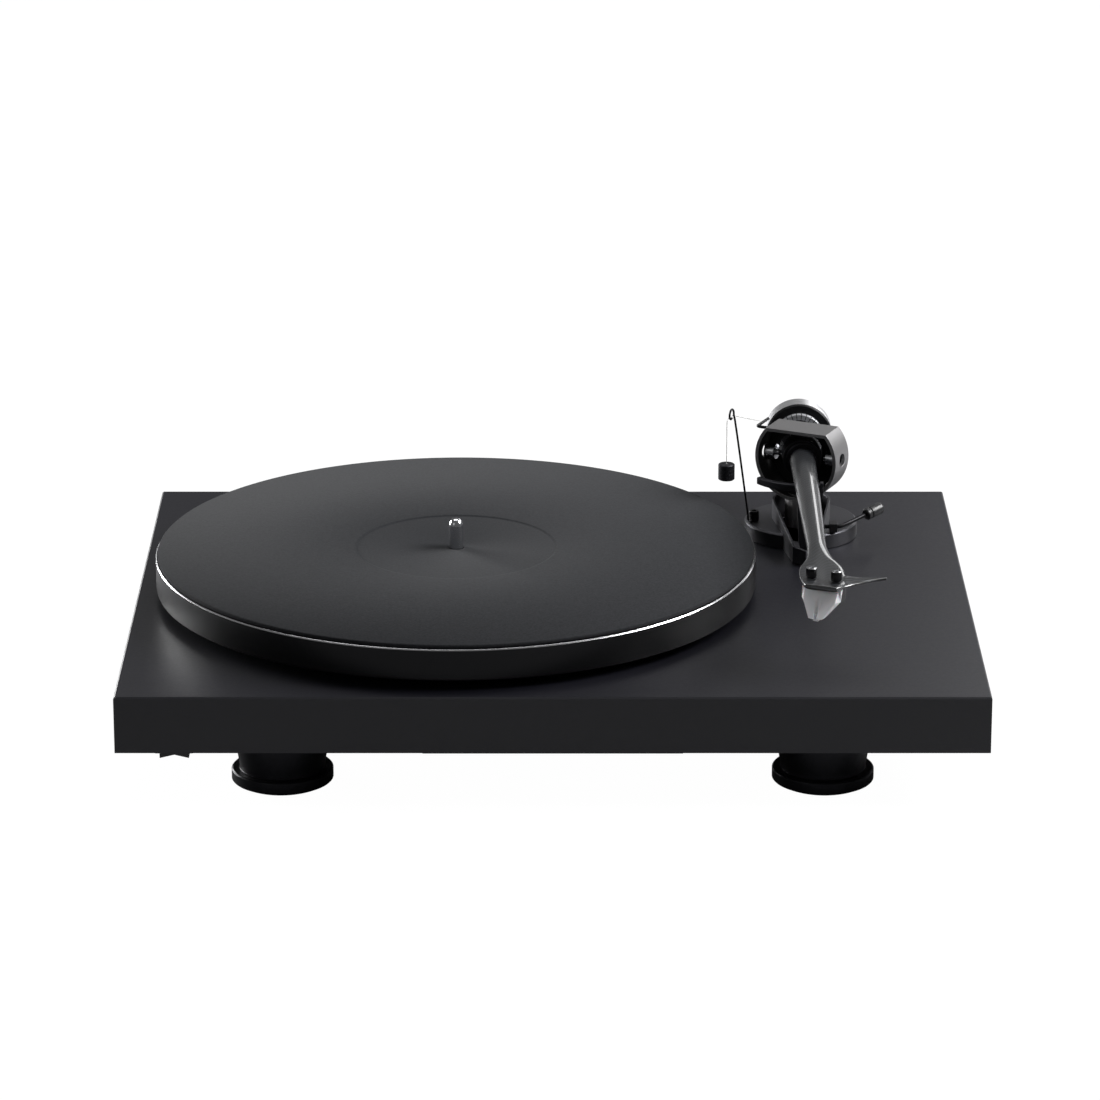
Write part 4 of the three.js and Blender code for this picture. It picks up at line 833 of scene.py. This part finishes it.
reach = Vector((20.8, 15.4, 5)).normalized()
elbow = Vector((20, -22, 11.1))
lever_line = eased([
    (rod_x - 3, -22.4, 11), (8, -22.4, 11), (14, -22.4, 11), (17.8, -22.4, 11), (20.1, -21.6, 11.2),
    elbow + 4 * reach, elbow + 10 * reach, elbow + 19 * reach,
], 8)
add_piece("lever_wire", swept(lever_line, 1.1, arm_foot), black_steel, "cue_lever", "cue_lever")
grip_turn = reach.to_track_quat("Z", "Y").to_matrix().to_4x4()
grip_place = arm_foot @ Matrix.Translation((elbow + 16 * reach) * mm) @ grip_turn
add_piece("lever_grip", turned([
    (1.25, 0), (2.5, 0), (3.1, 0.7), (3.1, 2.2), (2.75, 2.5), (2.75, 3.1), (3.1, 3.4), (3.1, 9.7),
    (2.8, 10.3), (2.2, 10.5), (0, 10.5),
], grip_place, steps=48), moulded, "cue_lever", "cue_lever_grip", 0.1, 30)


def break_edges(width, *nodes):
    """Rounds the sharp edges of CAD nodes that keep their own shape."""
    for name in nodes:
        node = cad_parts[name]
        node.modifiers.new("one skin", "WELD").merge_threshold = 1e-5
        rounding = node.modifiers.new("broken edges", "BEVEL")
        rounding.width = width * mm
        rounding.segments = 2
        rounding.limit_method = "ANGLE"
        rounding.angle_limit = math.radians(35)


recoat(moulded, "cue_lever_block")
recoat(cast_black, "arm_rest")
break_edges(0.3, "cue_lever_block", "arm_rest")

# ----------------------------------------------------------------- anti-skating
# A wire post, clamped in the base by a knurled knob, ends in a loop. A nylon
# thread from the drum's stub runs over the loop to a small black weight.
hook = [
    Vector((-36.4 + 1.0 * math.cos(a) - 0.5 * step / 42, -4.2 + 2.1 * math.cos(a), 65.6 + 2.6 * math.sin(a)))
    for step, a in ((step, -0.25 + 1.75 * math.pi * step / 42) for step in range(43))
]
post = eased([
    (-27.3, -2.6, 4.2), (-27.5, -2.6, 10.2), (-29.9, -2.6, 28), (-33, -2.6, 50), (-34.8, -2.3, 62),
], 10)
add_piece("skate_wire", swept([*post, *hook], 0.55, arm_foot, 12), black_steel, "chassis",
          "antiskate_wire")
add_piece("skate_knob", knurled([
    (2.1, 0, 8.5), (2.5, 0, 8.9), (2.5, 0.16, 9.2), (2.5, 0.16, 13.3), (2.5, 0, 13.6), (2.3, 0, 14.2),
    (1.2, 0, 14.2), (1.1, 0, 13.2), (0.1, 0, 13.2),
], 24, arm_foot @ at(-24.4 * mm, -5.6 * mm)), black_steel, "chassis", "antiskate_clamp_knob",
    keep_sharp=30)

weight_rows = [(0, 31.2), (3.8, 31.2), (4.25, 31.6)]
for level in (33.0, 34.8, 36.6):
    weight_rows += [(4.25, level), (4.05, level + 0.12), (4.05, level + 0.3), (4.25, level + 0.42)]
weight_rows += [(4.25, 39.2), (3.85, 39.6), (0.8, 39.6), (0.6, 39.2), (0, 39.2)]
add_piece("skate_weight", turned(weight_rows, arm_foot @ at(-39 * mm, -6 * mm), steps=64), cast_black,
          "antiskate_weight", "antiskate_weight", keep_sharp=30)

thread, tree, shader = surface("clear nylon thread", "#D8D8D6", 0.25)
shader.inputs["Transmission Weight"].default_value = 0.35
varied(tree, shader, grain(tree, shader, 0.5, 0.003), 0.2, 0.35)
drop = [Vector((-39, -6, z)) for z in (38.9, 45, 52, 58)] + eased(
    [(-39, -6, 60.5), (-38.9, -6, 62.6), (-38.2, -5.7, 64), (-37.2, -4.6, 64.6)], 6)
span = eased([
    (-37.2, -4.6, 64.6), (-36, -2.2, 64.3), (-33, 1.6, 62.7), (-27, 8, 59.5), (-21.2, 14.0, 56.5),
], 8)
place = arm_foot.translation
hanging = add_piece("thread_drop", swept(drop, 0.2, arm_foot, 8), thread, None, ())
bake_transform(hanging)
pulled = add_piece("thread_span", swept(span, 0.2, arm_foot, 8), thread, None, "antiskate_thread")
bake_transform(pulled)

# ------------------------------------------------- drive, bearing and controls
# Under the platter and the board: a turned bearing housing, a synchronous motor
# in a rubber ring, its pulley and flat ground belt, a circuit board, pressed
# covers, a rocker switch, and the moulded box that carries the sockets.
zinc, tree, shader = surface("zinc-plated steel", "#A7A9A8", 0.34, 1.0)
varied(tree, shader, grain(tree, shader, 2.5, 0.004, detail=6), 0.26, 0.44)
brass, tree, shader = surface("turned brass", "#B58F4A", 0.28, 1.0)
varied(tree, shader, grain(tree, shader, 0.4, 0.004), 0.22, 0.36)
bronze, tree, shader = surface("sintered bronze", "#8C6239", 0.45, 1.0)
varied(tree, shader, grain(tree, shader, 0.25, 0.02), 0.4, 0.55)
belt, tree, shader = surface("ground rubber belt", "#1C1C1C", 0.6)
grain(tree, shader, 0.2, 0.01, stretch=(1, 1, 4))
circuit, tree, shader = surface("solder-masked circuit board", "#1F5138", 0.35)
tracks = grain(tree, shader, 4.0, 0.03, detail=0)
lacquer_tint = add_node(tree, "ShaderNodeValToRGB", links={"Fac": tracks.outputs["Fac"]})
lacquer_tint.color_ramp.elements[0].position = 0.48
lacquer_tint.color_ramp.elements[0].color = linear("#1F5138")
lacquer_tint.color_ramp.elements[1].position = 0.52
lacquer_tint.color_ramp.elements[1].color = linear("#2C6B4A")
tree.links.new(lacquer_tint.outputs["Color"], shader.inputs["Base Color"])

recoat(steel, "bearing_housing", "bearing_thrust_ball", "phono_socket_left", "phono_socket_right")
recoat(zinc, "bearing_nut", "arm_base_nut", "motor_can")
recoat(brass, "motor_pulley", "ground_terminal")
recoat(bronze, "bearing_bush")
recoat(belt, "drive_belt", "platter_damping_ring")
recoat(pad_rubber, "motor_suspension")
recoat(circuit, "control_board")
recoat(acetal, "bearing_thrust_pad")
recoat(moulded, "motor_cover", "board_cover", "speed_switch_housing", "speed_rocker", "terminal_box",
       "power_socket")
break_edges(0.3, "motor_cover", "board_cover", "speed_switch_housing", "speed_rocker", "terminal_box",
            "bearing_housing", "motor_can", "bearing_nut", "arm_base_nut")

low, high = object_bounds()
